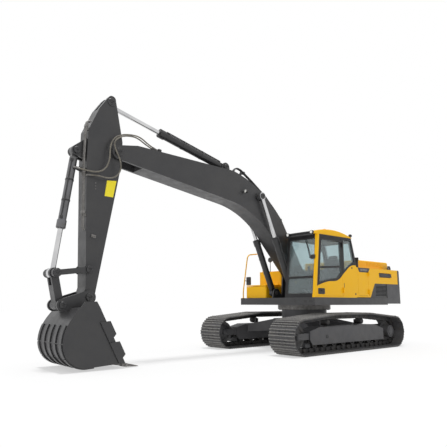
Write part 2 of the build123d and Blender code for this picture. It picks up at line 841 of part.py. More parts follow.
# Bucket link: a forked bar from the rod's eye to the bucket
with BuildPart() as bucket_link:
    with BuildSketch(side_plane()):
        with Locations(rocker_end, link_pivot):
            Circle(link_bar)
        make_hull()
        with Locations(rocker_end, link_pivot):
            Circle(link_boss)
    extrude(amount=link_half_width, both=True)
    with BuildSketch(side_plane()):
        with Locations(rocker_end):
            Circle(230)
    extrude(amount=eye_width / 2 + move_gap, both=True, mode=Mode.SUBTRACT)
    with BuildSketch(side_plane()):
        with Locations(link_pivot):
            Circle(95)
    extrude(amount=bucket_ear_inner - move_gap, both=True)
    with BuildSketch(side_plane()):
        with Locations(link_pivot):
            Circle(link_pin_radius + pin_fit)
    extrude(amount=bucket_ear_inner, both=True, mode=Mode.SUBTRACT)
finish(bucket_link, "bucket_link")


# Bucket: a curved skin between two side plates, with two ears on its back
def bucket_point(dx, dz):
    return (arm_tip[0] + dx, arm_tip[1] + dz)


with BuildPart() as bucket:
    with BuildSketch(side_plane()) as bucket_outline:
        with BuildLine():
            lip = bucket_point(-620, -1230)
            floor_end = bucket_point(120, -1268)
            heel = bucket_point(478, -1145)
            back = bucket_point(625, -800)
            hollow = bucket_point(440, -330)
            crest = bucket_point(345, -200)
            mouth = bucket_point(-45, -165)
            Line(lip, floor_end)
            ThreePointArc(floor_end, heel, back)
            ThreePointArc(back, bucket_point(575, -555), hollow)
            Line(hollow, crest)
            Line(crest, mouth)
            Line(mouth, lip)
        make_face()
    extrude(amount=bucket_width / 2, both=True)
    with BuildSketch(side_plane()):
        offset(bucket_outline.sketch, amount=-bucket_skin)
        with BuildLine():
            Polyline(
                bucket_point(-45 - bucket_skin, -165 - bucket_skin),
                bucket_point(-900, -165 - bucket_skin),
                bucket_point(-900, -1230 + bucket_skin),
                bucket_point(-620, -1230 + bucket_skin),
                close=True,
            )
        make_face()
    extrude(amount=bucket_width / 2 - bucket_side, both=True, mode=Mode.SUBTRACT)
    mouth_angle = angle_of(lip, mouth)
    mouth_length = hypot(mouth[0] - lip[0], mouth[1] - lip[1])
    for side in (1, -1):
        with BuildSketch(side_plane(side * (bucket_ear_inner + bucket_ear / 2))):
            with Locations(arm_tip):
                Circle(135)
            with Locations(link_pivot):
                Circle(115)
            with Locations(bucket_point(150, -205)):
                Rectangle(360, 60, rotation=-5)
            make_hull()
            with Locations(arm_tip, link_pivot):
                Circle(link_pin_radius + pin_fit, mode=Mode.SUBTRACT)
        extrude(amount=bucket_ear / 2, both=True)
    for side in (1, -1):
        with BuildSketch(side_plane(side * (bucket_width / 2 - bucket_side / 2))):
            with BuildLine():
                Polyline(
                    bucket_point(-90, -240),
                    bucket_point(10, -78),
                    bucket_point(245, -90),
                    bucket_point(430, -320),
                    close=True,
                )
            make_face()
        extrude(amount=bucket_side / 2, both=True)
finish(bucket, "bucket")

# Side cutters on the bucket's cheeks, and strips of wear plates round its heel
with BuildPart() as wear_band:
    with BuildSketch(side_plane()):
        offset(bucket_outline.sketch, amount=wear_strip)
        with Locations(bucket_point(450, -950)):
            Rectangle(900, 900, mode=Mode.INTERSECT)
        offset(bucket_outline.sketch, amount=seat_gap, mode=Mode.SUBTRACT)
        with Locations(bucket_point(145, -790)):
            for turn in wear_gap_turns:
                Rectangle(700, wear_gap, turn, align=(Align.MIN, Align.CENTER), mode=Mode.SUBTRACT)
    extrude(amount=wear_width / 2, both=True)
with BuildPart() as bucket_wear:
    for i in range(wear_count):
        add(wear_band.part.moved(Location((0, (i - (wear_count - 1) / 2) * wear_pitch, 0))))
    for side in (1, -1):
        with BuildSketch(side_plane(side * (bucket_width / 2 + seat_gap))):
            for share in cutter_places:
                with Locations(along(lip, mouth_angle, (share * mouth_length, cutter_step))):
                    Trapezoid(cutter_length, cutter_width, 68, rotation=mouth_angle)
        extrude(amount=-side * cutter)
finish(bucket_wear, "bucket_wear")

with BuildPart() as bucket_pins:
    with BuildSketch(side_plane()):
        with Locations(arm_tip, link_pivot):
            Circle(link_pin_radius)
    extrude(amount=bucket_ear_inner + bucket_ear + 15, both=True)
finish(bucket_pins, "bucket_pins")

# Bucket teeth along the lip
tooth_count = 5
tooth_width = 110.0
with BuildPart() as bucket_teeth:
    pitch = (bucket_width - tooth_width) / (tooth_count - 1)
    for i in range(tooth_count):
        y = -bucket_width / 2 + tooth_width / 2 + i * pitch
        with BuildSketch(side_plane(y)):
            with BuildLine():
                Polyline(
                    bucket_point(-620 - seat_gap, -1228),
                    bucket_point(-920, -1304),
                    bucket_point(-900, -1314),
                    bucket_point(-560, -1290),
                    bucket_point(-560, -1233.6),
                    bucket_point(-620 - seat_gap, -1230.6),
                    close=True,
                )
            make_face()
        extrude(amount=tooth_width / 2, both=True)
finish(bucket_teeth, "bucket_teeth")


# Counterweight: low across the tail, higher behind the panels, rounded to the tail radius
with BuildPart() as counterweight:
    with BuildSketch(Plane.XY.offset(upper_bottom + 30)):
        Circle(tail_radius)
        with Locations((deck_rear - seat_gap, 0)):
            Rectangle(2000, 2 * upper_half_width, align=(Align.MAX, Align.CENTER), mode=Mode.INTERSECT)
    extrude(amount=panel_split - seat_gap - upper_bottom - 30)
    with BuildSketch(Plane.XY.offset(panel_split - 1)):
        Circle(tail_radius)
        with Locations((panel_rear - seat_gap, 0)):
            Rectangle(2000, 2 * upper_half_width, align=(Align.MAX, Align.CENTER), mode=Mode.INTERSECT)
    extrude(amount=panel_top - panel_split + 1)
    fillet(counterweight.edges().group_by(Axis.Z)[-1].filter_by(GeomType.CIRCLE), radius=40)
finish(counterweight, "counterweight")

# Lifting eyes on the counterweight
lifting_eye_hole = 40.0
lifting_eye_z = panel_top + 80
lifting_eye_x = -2761.0
lifting_eye_y = 1120.0
with BuildPart() as lifting_eyes:
    for side in (1, -1):
        with BuildSketch(side_plane(side * lifting_eye_y)):
            with Locations((lifting_eye_x, lifting_eye_z)):
                Circle(80)
            with Locations((lifting_eye_x, (lifting_eye_z + panel_top) / 2)):
                Rectangle(160, lifting_eye_z - panel_top)
            with Locations((lifting_eye_x, lifting_eye_z)):
                Circle(lifting_eye_hole, mode=Mode.SUBTRACT)
        extrude(amount=20, both=True)
finish(lifting_eyes, "lifting_eyes")

# Engine, as one plain block across the rear
with BuildPart() as engine_block:
    with Locations((-1780, 0, deck_top)):
        Box(520, 1500, 620, align=(Align.CENTER, Align.CENTER, Align.MIN))
finish(engine_block, "engine_block")


# Body panels on both sides, each a skin with a service door in it
service_front = -600.0
service_rear = -1090.0
service_low = 1420.0
service_high = 2120.0
vent_front = -1660.0
vent_rear = -2320.0
vent_middle = 2015.0
vent_slots = 4


def make_side_panel(name, side, front):
    """Side skin above the deck with a door opening and a raised rear part over the grille."""
    y = side * (upper_half_width - panel / 2 - 5)
    with BuildPart() as skin:
        with BuildSketch(side_plane(y)):
            with BuildLine():
                Polyline(
                    (front, panel_bottom),
                    (front, panel_top),
                    (panel_rear, panel_top),
                    (panel_rear, panel_split),
                    (grille_front_high, panel_split),
                    (grille_front_low, panel_bottom),
                    close=True,
                )
            make_face()
            with Locations(((service_front + service_rear) / 2, (service_low + service_high) / 2)):
                Rectangle(
                    service_front - service_rear + 2 * move_gap,
                    service_high - service_low + 2 * move_gap,
                    mode=Mode.SUBTRACT,
                )
            with Locations(((vent_front + vent_rear) / 2, vent_middle)):
                with GridLocations(0, slat_pitch, 1, vent_slots):
                    Rectangle(vent_front - vent_rear, slat, mode=Mode.SUBTRACT)
        extrude(amount=panel / 2, both=True)
        with BuildSketch(Plane.XY.offset(panel_top - panel)):
            inner = upper_half_width - 5 - panel
            with Locations(((front + panel_rear) / 2, side * (inner + hood_half_width + move_gap) / 2)):
                Rectangle(front - panel_rear, inner - hood_half_width - move_gap)
        extrude(amount=panel)
    finish(skin, name)


make_side_panel("side_panel_left", 1, cab_rear - seat_gap)
make_side_panel("side_panel_right", -1, tank_rear + 340)


service_hinges = {
    side: upright_hinges(service_rear - move_gap / 2, side, (service_low + 100, service_high - 100))
    for side in (1, -1)
}


def make_service_door(name, side):
    """Service door that fills the opening in a side skin, with its hinge halves."""
    with BuildPart() as door:
        with BuildSketch(side_plane(side * (upper_half_width - panel / 2 - 5))):
            with Locations(((service_front + service_rear) / 2, (service_low + service_high) / 2)):
                Rectangle(service_front - service_rear, service_high - service_low)
        extrude(amount=panel / 2, both=True)
        add([moving for fixed, moving in service_hinges[side]])
    finish(door, name)


make_service_door("service_door_left", 1)
make_service_door("service_door_right", -1)

# Dark grilles below the raised rear parts of the skins, each with level louvres
with BuildPart() as grilles:
    for side in (1, -1):
        with BuildSketch(side_plane(side * (upper_half_width - panel / 2 - 12))):
            with BuildLine():
                Polyline(
                    (grille_front_low - 2 * seat_gap, deck_top),
                    (grille_front_low - 2 * seat_gap, panel_bottom),
                    (grille_front_high - 2 * seat_gap, panel_split - seat_gap),
                    (deck_rear, panel_split - seat_gap),
                    (deck_rear, deck_top),
                    close=True,
                )
            make_face()
            slats = int((panel_split - deck_top - 2 * slat_margin) / slat_pitch)
            with Locations(((deck_rear + grille_front_high) / 2, (panel_split + deck_top) / 2)):
                with GridLocations(0, slat_pitch, 1, slats):
                    Rectangle(grille_front_high - deck_rear - 2 * slat_margin, slat, mode=Mode.SUBTRACT)
        extrude(amount=panel / 2, both=True)
finish(grilles, "grilles")

# Fixed cover between the cab and the hood, with the bulkhead under its front edge
cover_front = cab_rear - 45.0
with BuildPart() as engine_cover:
    with Locations((cover_front, 0, panel_top - panel)):
        Box(
            cover_front - hood_front - 10,
            2 * hood_half_width,
            panel,
            align=(Align.MAX, Align.CENTER, Align.MIN),
        )
    with Locations((cover_front, 0, deck_top)):
        Box(
            panel,
            2 * (upper_half_width - 40),
            panel_top - panel - deck_top,
            align=(Align.MAX, Align.CENTER, Align.MIN),
        )
finish(engine_cover, "engine_cover")

# Engine hood: a shallow lid, hinged along its front edge
hood_hinges = [
    make_hinge(
        Plane(
            origin=(hood_front + hinge_offset, y, panel_top + hinge_offset),
            x_dir=(-1, 0, 0),
            z_dir=(0, 1, 0),
        ),
        moving_up=True,
    )
    for y in (600, -600)
]
with BuildPart() as engine_hood:
    with BuildSketch(side_plane()):
        with BuildLine():
            Polyline(
                (hood_front, panel_top + move_gap),
                (hood_front, hood_top),
                (hood_rear + 60, hood_top),
                (hood_rear, panel_top + move_gap),
                close=True,
            )
        make_face()
    extrude(amount=hood_half_width, both=True)
    fillet(engine_hood.edges().group_by(Axis.Z)[-1], radius=40)
    offset(amount=-panel, openings=engine_hood.faces().sort_by(Axis.Z)[0])
    with BuildSketch(side_plane()):
        with Locations(((hood_front + hood_rear) / 2, (hood_top + panel_top) / 2 + 40)):
            with GridLocations(hood_slot_pitch, 0, hood_slots, 1):
                Rectangle(slat, hood_slot_height, rotation=-12)
    extrude(amount=2 * hood_half_width, both=True, mode=Mode.SUBTRACT)
    add([moving for fixed, moving in hood_hinges])
finish(engine_hood, "engine_hood")

# Fuel and oil tanks on the right, and the tool box with its lid in front of them
with BuildPart() as tanks:
    with Locations((tank_front, tank_left, deck_top)):
        Box(
            tank_front - tank_rear - 340 - seat_gap,
            upper_half_width - 5 + tank_left,
            tank_top - deck_top,
            align=(Align.MAX, Align.MAX, Align.MIN),
        )
    fillet(tanks.edges().filter_by(Axis.Z), radius=50)
    offset(amount=-12, openings=tanks.faces().sort_by(Axis.Z)[0])
finish(tanks, "tanks")

with BuildPart() as tool_box:
    with Locations((box_front, tank_left, deck_top)):
        Box(
            box_front - tank_front - seat_gap,
            tank_left - box_right,
            box_top - panel - 2 * move_gap - deck_top,
            align=(Align.MAX, Align.MAX, Align.MIN),
        )
    fillet(tool_box.edges().filter_by(Axis.Z), radius=40)
    offset(amount=-20, openings=tool_box.faces().sort_by(Axis.Z)[-1])
finish(tool_box, "tool_box")

lid_hinges = [
    make_hinge(
        Plane(
            origin=(tank_front + hinge_offset, y, box_top + hinge_offset),
            x_dir=(1, 0, 0),
            z_dir=(0, -1, 0),
        ),
        fixed_up=True,
    )
    for y in (-700, -1150)
]
with BuildPart() as tool_box_lid:
    with Locations((box_front, tank_left, box_top - panel)):
        Box(
            box_front - tank_front - move_gap,
            tank_left - box_right,
            panel,
            align=(Align.MAX, Align.MAX, Align.MIN),
        )
    fillet(tool_box_lid.edges().filter_by(Axis.Z), radius=40)
    add([moving for fixed, moving in lid_hinges])
finish(tool_box_lid, "tool_box_lid")

# Handrail on the right
rail_radius = 17.0
rail_y = -1365.0
rail_path = [(1090, deck_top), (1090, 1560), (900, 2640), (480, 2700), (250, 2700), (250, tank_top)]
with BuildPart() as handrail:
    with BuildLine():
        FilletPolyline(*[(x, rail_y, z) for x, z in rail_path], radius=90)
    with BuildSketch(Plane.XY.offset(deck_top)):
        with Locations((rail_path[0][0], rail_y)):
            RegularPolygon(rail_radius, 8)
    sweep()
finish(handrail, "handrail")

# Air intake on the deck behind the cab
stack_x = hood_front + 235
stack_y = hood_half_width + 110
stack_radius = 44.0
stack_height = 225.0
stack_cap = 100.0
with BuildPart() as intake_stack:
    with Locations((stack_x, stack_y, panel_top)):
        Cylinder(stack_radius, stack_height, align=(Align.CENTER, Align.CENTER, Align.MIN))
    with Locations((stack_x, stack_y, panel_top + stack_height)):
        Cylinder(stack_radius + 14, stack_cap, align=(Align.CENTER, Align.CENTER, Align.MIN))
finish(intake_stack, "intake_stack")

# Cab: a hollow frame with cut windows
front_slope = (cab_front_top - cab_front_bottom) / (cab_top - cab_floor)


def cab_front(z):
    """X of the cab's slanted front face at a height."""
    return cab_front_bottom + front_slope * (z - cab_floor)


cab_middle = (cab_left + cab_right) / 2
cab_half = (cab_left - cab_right) / 2
split_z = 1870.0
door_outline = [
    (cab_front(door_bottom) - door_front_inset, door_bottom),
    (cab_front(door_top) - door_front_inset, door_top),
    (door_rear, door_top),
    (door_rear, door_bottom),
]
with BuildPart() as cab_frame:
    with BuildSketch(side_plane(cab_middle)) as cab_outline:
        with BuildLine():
            Polyline(
                (cab_front_bottom, cab_floor),
                (cab_front_top, cab_top),
                (cab_rear_top, cab_top),
                (cab_rear, cab_shoulder),
                (cab_rear, cab_floor),
                close=True,
            )
        make_face()
    extrude(amount=cab_half, both=True)
    with BuildSketch(side_plane(cab_middle)):
        offset(cab_outline.sketch, amount=-cab_wall, kind=Kind.INTERSECTION)
    extrude(amount=cab_half - cab_wall, both=True, mode=Mode.SUBTRACT)
    with BuildSketch(side_plane(cab_left)):
        with BuildLine():
            Polyline(*door_outline, close=True)
        make_face()
        offset(amount=move_gap, kind=Kind.INTERSECTION)
    extrude(amount=cab_wall + move_gap, mode=Mode.SUBTRACT)
    with BuildSketch(Plane.YZ.offset(cab_front_top - 200)):
        with Locations((cab_middle, (split_z - 20 + cab_floor + 90) / 2)):
            Rectangle(2 * cab_half - 2 * pillar, split_z - 20 - cab_floor - 90)
        with Locations((cab_middle, (split_z + 20 + cab_top - 110) / 2)):
            Rectangle(2 * cab_half - 2 * pillar, cab_top - 110 - split_z - 20)
    extrude(amount=500, mode=Mode.SUBTRACT)
    with BuildSketch(side_plane(cab_right)):
        with BuildLine():
            Polyline(
                (cab_front(1650) - 120, 1650),
                (cab_front(cab_top - 110) - 120, cab_top - 110),
                (cab_rear_top + 70, cab_top - 110),
                (cab_rear + 140, cab_shoulder),
                (cab_rear + 140, 1650),
                close=True,
            )
        make_face()
    extrude(amount=-cab_wall - 1, mode=Mode.SUBTRACT)
    with BuildSketch(side_plane(cab_left)):
        with BuildLine():
            Polyline(
                (door_rear - 90, 2080),
                (door_rear - 90, cab_top - 80),
                (cab_rear_top + 30, cab_top - 80),
                (cab_rear + 90, cab_shoulder),
                (-300, 2270),
                close=True,
            )
        make_face()
    extrude(amount=cab_wall + 1, mode=Mode.SUBTRACT)
    with BuildSketch(Plane.YZ.offset(cab_rear - 50)):
        with Locations((cab_middle, (2040 + cab_top - 130) / 2)):
            Rectangle(2 * cab_half - 2 * pillar - 40, cab_top - 130 - 2040)
    extrude(amount=350, mode=Mode.SUBTRACT)
finish(cab_frame, "cab_frame")

# Roof panel with a short visor over the windscreen
with BuildPart() as cab_roof:
    with BuildSketch(side_plane(cab_middle)):
        with BuildLine():
            front_low = (cab_front_top + 130, cab_top)
            front_high = (cab_front_top + 130, cab_top + roof_thickness)
            rear_high = (cab_rear_top - 60, cab_top + 25)
            rear_low = (cab_rear_top - 60, cab_top)
            Line(front_low, front_high)
            ThreePointArc(front_high, ((cab_front_top + cab_rear_top) / 2 + 160, cab_top + roof_crown), rear_high)
            Polyline(rear_high, rear_low, front_low)
        make_face()
    extrude(amount=cab_half - 10, both=True)
    fillet(cab_roof.faces().sort_by(Axis.Z)[-1].edges().filter_by(GeomType.CIRCLE), radius=35)
finish(cab_roof, "cab_roof")

# Windscreens, upper and lower, set in the slanted front
with BuildPart() as windscreens:
    for low, high in ((cab_floor + 90, split_z - 20), (split_z + 20, cab_top - 110)):
        low += seat_gap
        high -= seat_gap
        with BuildSketch(side_plane(cab_middle)):
            with BuildLine():
                Polyline(
                    (cab_front(low) - 20, low),
                    (cab_front(high) - 20, high),
                    (cab_front(high) - 20 - glass, high),
                    (cab_front(low) - 20 - glass, low),
                    close=True,
                )
            make_face()
        extrude(amount=cab_half - pillar - seat_gap, both=True)
finish(windscreens, "windscreens")

# Side and rear glass
with BuildPart() as cab_glass:
    with BuildSketch(side_plane(cab_right + 25)):
        with BuildLine():
            Polyline(
                (cab_front(1650) - 120, 1650),
                (cab_front(cab_top - 110) - 120, cab_top - 110),
                (cab_rear_top + 70, cab_top - 110),
                (cab_rear + 140, cab_shoulder),
                (cab_rear + 140, 1650),
                close=True,
            )
        make_face()
        offset(amount=-seat_gap, kind=Kind.INTERSECTION)
    extrude(amount=-glass)
    with BuildSketch(side_plane(cab_left - 20)):
        with BuildLine():
            Polyline(
                (door_rear - 90, 2080),
                (door_rear - 90, cab_top - 80),
                (cab_rear_top + 30, cab_top - 80),
                (cab_rear + 90, cab_shoulder),
                (-300, 2270),
                close=True,
            )
        make_face()
        offset(amount=-seat_gap, kind=Kind.INTERSECTION)
    extrude(amount=glass)
    with BuildSketch(side_plane(cab_middle)):
        with BuildLine():
            Polyline(
                (cab_rear + 20, 2040 + seat_gap),
                (cab_rear + 20, cab_shoulder),
                (cab_rear_top - 20, cab_top - 130 - seat_gap),
                (cab_rear_top - 20 + glass, cab_top - 130 - seat_gap),
                (cab_rear + 20 + glass, cab_shoulder),
                (cab_rear + 20 + glass, 2040 + seat_gap),
                close=True,
            )
        make_face()
    extrude(amount=cab_half - pillar - 20 - seat_gap, both=True)
finish(cab_glass, "cab_glass")

# Cab door: a frame with a low panel and a large window
door_glass_outline = [
    (cab_front(1730) - door_front_inset - 60, 1730),
    (cab_front(door_top - 60) - door_front_inset - 60, door_top - 60),
    (door_rear + 60, door_top - 60),
    (door_rear + 60, 2010),
    (340, 1860),
    (770, 1800),
]
door_hinges = upright_hinges(door_rear - move_gap / 2, 1, (1550, 2750))
with BuildPart() as cab_door:
    with BuildSketch(side_plane(cab_left)):
        with BuildLine():
            Polyline(*door_outline, close=True)
        make_face()
        with BuildLine():
            Polyline(*door_glass_outline, close=True)
        make_face(mode=Mode.SUBTRACT)
    extrude(amount=cab_wall)
    with BuildSketch(side_plane(cab_left)):
        with BuildLine():
            Polyline(
                (cab_front(rail_front) - door_front_inset - 30, rail_front - door_rail / 2),
                (cab_front(rail_front) - door_front_inset - 30, rail_front + door_rail / 2),
                (door_rear + 30, rail_rear + door_rail / 2),
                (door_rear + 30, rail_rear - door_rail / 2),
                close=True,
            )
        make_face()
    extrude(amount=20 - seat_gap)
    add([moving for fixed, moving in door_hinges])
finish(cab_door, "cab_door")

with BuildPart() as door_glass:
    with BuildSketch(side_plane(cab_left - 20)):
        with BuildLine():
            Polyline(*door_glass_outline, close=True)
        make_face()
        offset(amount=-seat_gap, kind=Kind.INTERSECTION)
    extrude(amount=glass)
finish(door_glass, "door_glass")

# Operator's place: seat on its pedestal, and two control consoles
seat_x = 180.0
with BuildPart() as seat:
    inside_floor = cab_floor + cab_wall
    with Locations((seat_x, cab_middle, inside_floor)):
        Box(420, 380, 330, align=(Align.CENTER, Align.CENTER, Align.MIN))
    with Locations((seat_x + 20, cab_middle, inside_floor + 330)):
        Box(520, 480, 130, align=(Align.CENTER, Align.CENTER, Align.MIN))
    with BuildSketch(side_plane(cab_middle)):
        with BuildLine():
            Polyline(
                (seat_x - 120, inside_floor + 400),
                (seat_x - 300, inside_floor + 1080),
                (seat_x - 400, inside_floor + 1060),
                (seat_x - 260, inside_floor + 400),
                close=True,
            )
        make_face()
    extrude(amount=230, both=True)
finish(seat, "seat")

with BuildPart() as consoles:
    for side in (1, -1):
        with Locations((seat_x + 150, cab_middle + side * 325, inside_floor)):
            Box(460, 140, 560, align=(Align.CENTER, Align.CENTER, Align.MIN))
        with Locations((seat_x + 320, cab_middle + side * 325, inside_floor + 560)):
            Cylinder(22, 190, align=(Align.CENTER, Align.CENTER, Align.MIN))
finish(consoles, "consoles")

# Fixed halves of the hinges, on the cab, the side skins, the cover and the tank
all_hinges = door_hinges + service_hinges[1] + service_hinges[-1] + hood_hinges + lid_hinges
with BuildPart() as panel_hinges:
    add([fixed for fixed, moving in all_hinges])
finish(panel_hinges, "panel_hinges")


# Work lamps on the roof's front edge and on the boom's left side
def make_lamp(plane):
    """Housing and lens of a round lamp that stands on a plane and faces along its normal."""
    with BuildPart() as housing:
        with BuildSketch(plane):
            Circle(lamp_radius)
        extrude(amount=lamp_depth)
        with BuildSketch(plane.offset(lamp_depth - lens_depth)):
            Circle(lamp_radius - lamp_wall)
        extrude(amount=lens_depth, mode=Mode.SUBTRACT)
    with BuildPart() as lens:
        with BuildSketch(plane.offset(lamp_depth - lens_depth + seat_gap)):
            Circle(lamp_radius - lamp_wall - seat_gap)
        extrude(amount=lens_depth - 4)
    return housing.part, lens.part


def forward(x, y, z):
    """Plane at a place that faces forward."""
    return Plane(origin=(x, y, z), x_dir=(0, 1, 0), z_dir=(1, 0, 0))


lamp_x = cab_front_top + 130 + seat_gap
roof_lamp_z = cab_top + roof_thickness / 2
roof_lamp_parts = [make_lamp(forward(lamp_x, y, roof_lamp_z)) for y in roof_lamps]
with BuildPart() as work_lamps:
    add([housing for housing, lens in roof_lamp_parts])
finish(work_lamps, "work_lamps")

with BuildPart() as lamp_lenses:
    add([lens for housing, lens in roof_lamp_parts])
finish(lamp_lenses, "lamp_lenses")

lamp_place = boom_point(*boom_lamp_place)
boom_lamp_parts = make_lamp(forward(lamp_place[0], boom_lamp_y, lamp_place[1]))
with BuildPart() as boom_lamp:
    add(boom_lamp_parts[0])
    with BuildSketch(side_plane(boom_half_width + seat_gap)):
        with Locations((lamp_place[0] + lamp_depth / 3, lamp_place[1])):
            Circle(stem_radius)
    extrude(amount=-(boom_lamp_y - boom_half_width - lamp_radius + 12))
finish(boom_lamp, "boom_lamp")

with BuildPart() as boom_lamp_lens:
    add(boom_lamp_parts[1])
finish(boom_lamp_lens, "boom_lamp_lens")

# Mirrors: one on the handrail, and a round one on a stem over the tank
rail_share = (mirror_place[2] - rail_path[1][1]) / (rail_path[2][1] - rail_path[1][1])
rail_x = rail_path[1][0] + rail_share * (rail_path[2][0] - rail_path[1][0])
mirror_end = Vector(mirror_place)
rail_point = Vector(rail_x, rail_y, mirror_place[2])
toward = (mirror_end - rail_point).normalized()
arm_start = rail_point + toward * (rail_radius * 1.06 + seat_gap)
with BuildPart() as mirrors:
    with BuildSketch(Plane(origin=arm_start, z_dir=toward)):
        RegularPolygon(stem_radius, line_sides)
    extrude(amount=(mirror_end - arm_start).length)
    with Locations(mirror_place):
        Box(*mirror_size)
    fillet(mirrors.edges().filter_by(Axis.X), radius=20)
    with Locations((round_mirror_place[0], round_mirror_place[1], tank_top)):
        Cylinder(
            stem_radius,
            round_mirror_place[2] - tank_top,
            align=(Align.CENTER, Align.CENTER, Align.MIN),
        )
    with BuildSketch(forward(*round_mirror_place)):
        Circle(round_mirror_radius)
    extrude(amount=20, both=True)
finish(mirrors, "mirrors")


# Hydraulic lines along the boom and the arm, each a pair of tubes in clamps
def make_lines(points, y, clamps, outline, bend):
    """A pair of tubes along a path in the side view, with clamps that seat on an outline."""
    with BuildPart() as lines:
        for offset_y in (-line_spacing / 2, line_spacing / 2):
            with BuildLine() as route:
                FilletPolyline(*[(x, y + offset_y, z) for x, z in points], radius=bend)
            start = route.line @ 0
            with BuildSketch(Plane(origin=start, z_dir=route.line % 0)):
                RegularPolygon(line_radius, line_sides)
            sweep(path=route.line)
    with BuildPart() as blocks:
        with BuildSketch(side_plane()):
            for place, turn, height in clamps:
                with Locations(place):
                    Rectangle(clamp_length, height, rotation=turn)
            offset(outline, amount=seat_gap, mode=Mode.SUBTRACT)
        extrude(amount=line_spacing, both=True)
    with BuildPart() as both:
        add(lines.part)
        add(blocks.part.moved(Location((0, y, 0))))
    return both.part


boom_route = [(3230, 1440), (3180, 1590), (3020, 1625), (2560, 1555), (1960, 1432), (1210, 1140), (420, 575)]
boom_clamps = [((2960, 1520), 8, 260), ((2150, 1440), 16, 140), ((1250, 1110), 33, 150), ((640, 690), 35, 150)]
boom_line_parts = make_lines(
    [boom_point(u, v) for u, v in boom_route],
    boom_lines_y,
    [(boom_point(u, v), boom_angle + turn, height) for (u, v), turn, height in boom_clamps],
    boom_outline.sketch,
    80,
)
with BuildPart() as boom_lines:
    add(boom_line_parts)
finish(boom_lines, "boom_lines")

arm_route = [(-430, 700), (-400, 775), (-200, 760), (380, 668), (1740, 390), (1790, 350)]
arm_clamps = [((-250, 735), -2, 130), ((700, 580), -12, 130), ((1500, 415), -12, 130)]
arm_line_parts = make_lines(
    [arm_point(u, v) for u, v in arm_route],
    arm_lines_y,
    [(arm_point(u, v), arm_angle + turn, height) for (u, v), turn, height in arm_clamps],
    arm_outline.sketch,
    40,
)
with BuildPart() as arm_lines:
    add(arm_line_parts)
finish(arm_lines, "arm_lines")
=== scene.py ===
"""Looks of a 30 tonne crawler excavator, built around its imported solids.

Metres, in the frame of the solids: +X is forward, +Y is left, +Z is up, and the origin is on the
ground under the slew axis. Each class below dresses one sub-assembly of the machine.
"""

from __future__ import annotations

import json
import logging
import math
from dataclasses import dataclass
from enum import Enum
from functools import reduce
from typing import Iterable, Sequence

import bmesh
import bpy
import numpy as np
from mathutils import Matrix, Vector

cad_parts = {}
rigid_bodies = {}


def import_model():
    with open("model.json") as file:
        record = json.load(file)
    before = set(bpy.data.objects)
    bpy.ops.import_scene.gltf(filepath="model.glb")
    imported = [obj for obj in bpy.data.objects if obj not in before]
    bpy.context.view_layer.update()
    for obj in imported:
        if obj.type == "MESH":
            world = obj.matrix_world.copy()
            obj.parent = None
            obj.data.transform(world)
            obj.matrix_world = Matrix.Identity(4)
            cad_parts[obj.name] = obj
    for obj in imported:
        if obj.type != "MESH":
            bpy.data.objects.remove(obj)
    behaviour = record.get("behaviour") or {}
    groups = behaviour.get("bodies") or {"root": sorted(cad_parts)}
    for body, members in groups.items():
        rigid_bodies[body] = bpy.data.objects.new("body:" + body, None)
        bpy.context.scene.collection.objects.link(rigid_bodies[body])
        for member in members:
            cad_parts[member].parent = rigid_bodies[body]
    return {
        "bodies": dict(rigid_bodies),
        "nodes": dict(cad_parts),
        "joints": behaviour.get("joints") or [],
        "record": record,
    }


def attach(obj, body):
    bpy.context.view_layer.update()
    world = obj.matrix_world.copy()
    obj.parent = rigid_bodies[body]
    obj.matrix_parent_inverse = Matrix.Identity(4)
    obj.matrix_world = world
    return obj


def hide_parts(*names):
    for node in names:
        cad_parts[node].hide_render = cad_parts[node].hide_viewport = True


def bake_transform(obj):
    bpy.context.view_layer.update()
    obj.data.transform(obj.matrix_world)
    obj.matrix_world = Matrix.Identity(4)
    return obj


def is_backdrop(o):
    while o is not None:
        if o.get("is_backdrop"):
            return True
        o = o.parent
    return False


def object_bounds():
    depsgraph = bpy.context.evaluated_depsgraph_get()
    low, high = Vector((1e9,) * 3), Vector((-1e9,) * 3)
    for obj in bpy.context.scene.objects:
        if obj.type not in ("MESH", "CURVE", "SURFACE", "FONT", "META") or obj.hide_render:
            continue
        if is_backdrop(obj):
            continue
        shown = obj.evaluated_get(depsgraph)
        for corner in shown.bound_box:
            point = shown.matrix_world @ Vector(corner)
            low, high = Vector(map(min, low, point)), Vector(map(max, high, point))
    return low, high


LOG = logging.getLogger("excavator")

Array = np.ndarray
Socket = bpy.types.NodeSocket
Material = bpy.types.Material
Pair = tuple[float, float]
Triple = tuple[float, float, float]
Colour = tuple[float, float, float, float]

X_AXIS = np.array([1.0, 0.0, 0.0])
Y_AXIS = np.array([0.0, 1.0, 0.0])
Z_AXIS = np.array([0.0, 0.0, 1.0])
FACING_LEFT = (-X_AXIS, Z_AXIS)
FACING_FRONT = (Y_AXIS, Z_AXIS)
FACING_REAR = (-Y_AXIS, Z_AXIS)
BOTH_SIDES = (-1.0, 1.0)


def unit(vectors: Array) -> Array:
    """Vectors divided by their lengths."""
    return vectors / np.linalg.norm(vectors, axis=-1, keepdims=True)


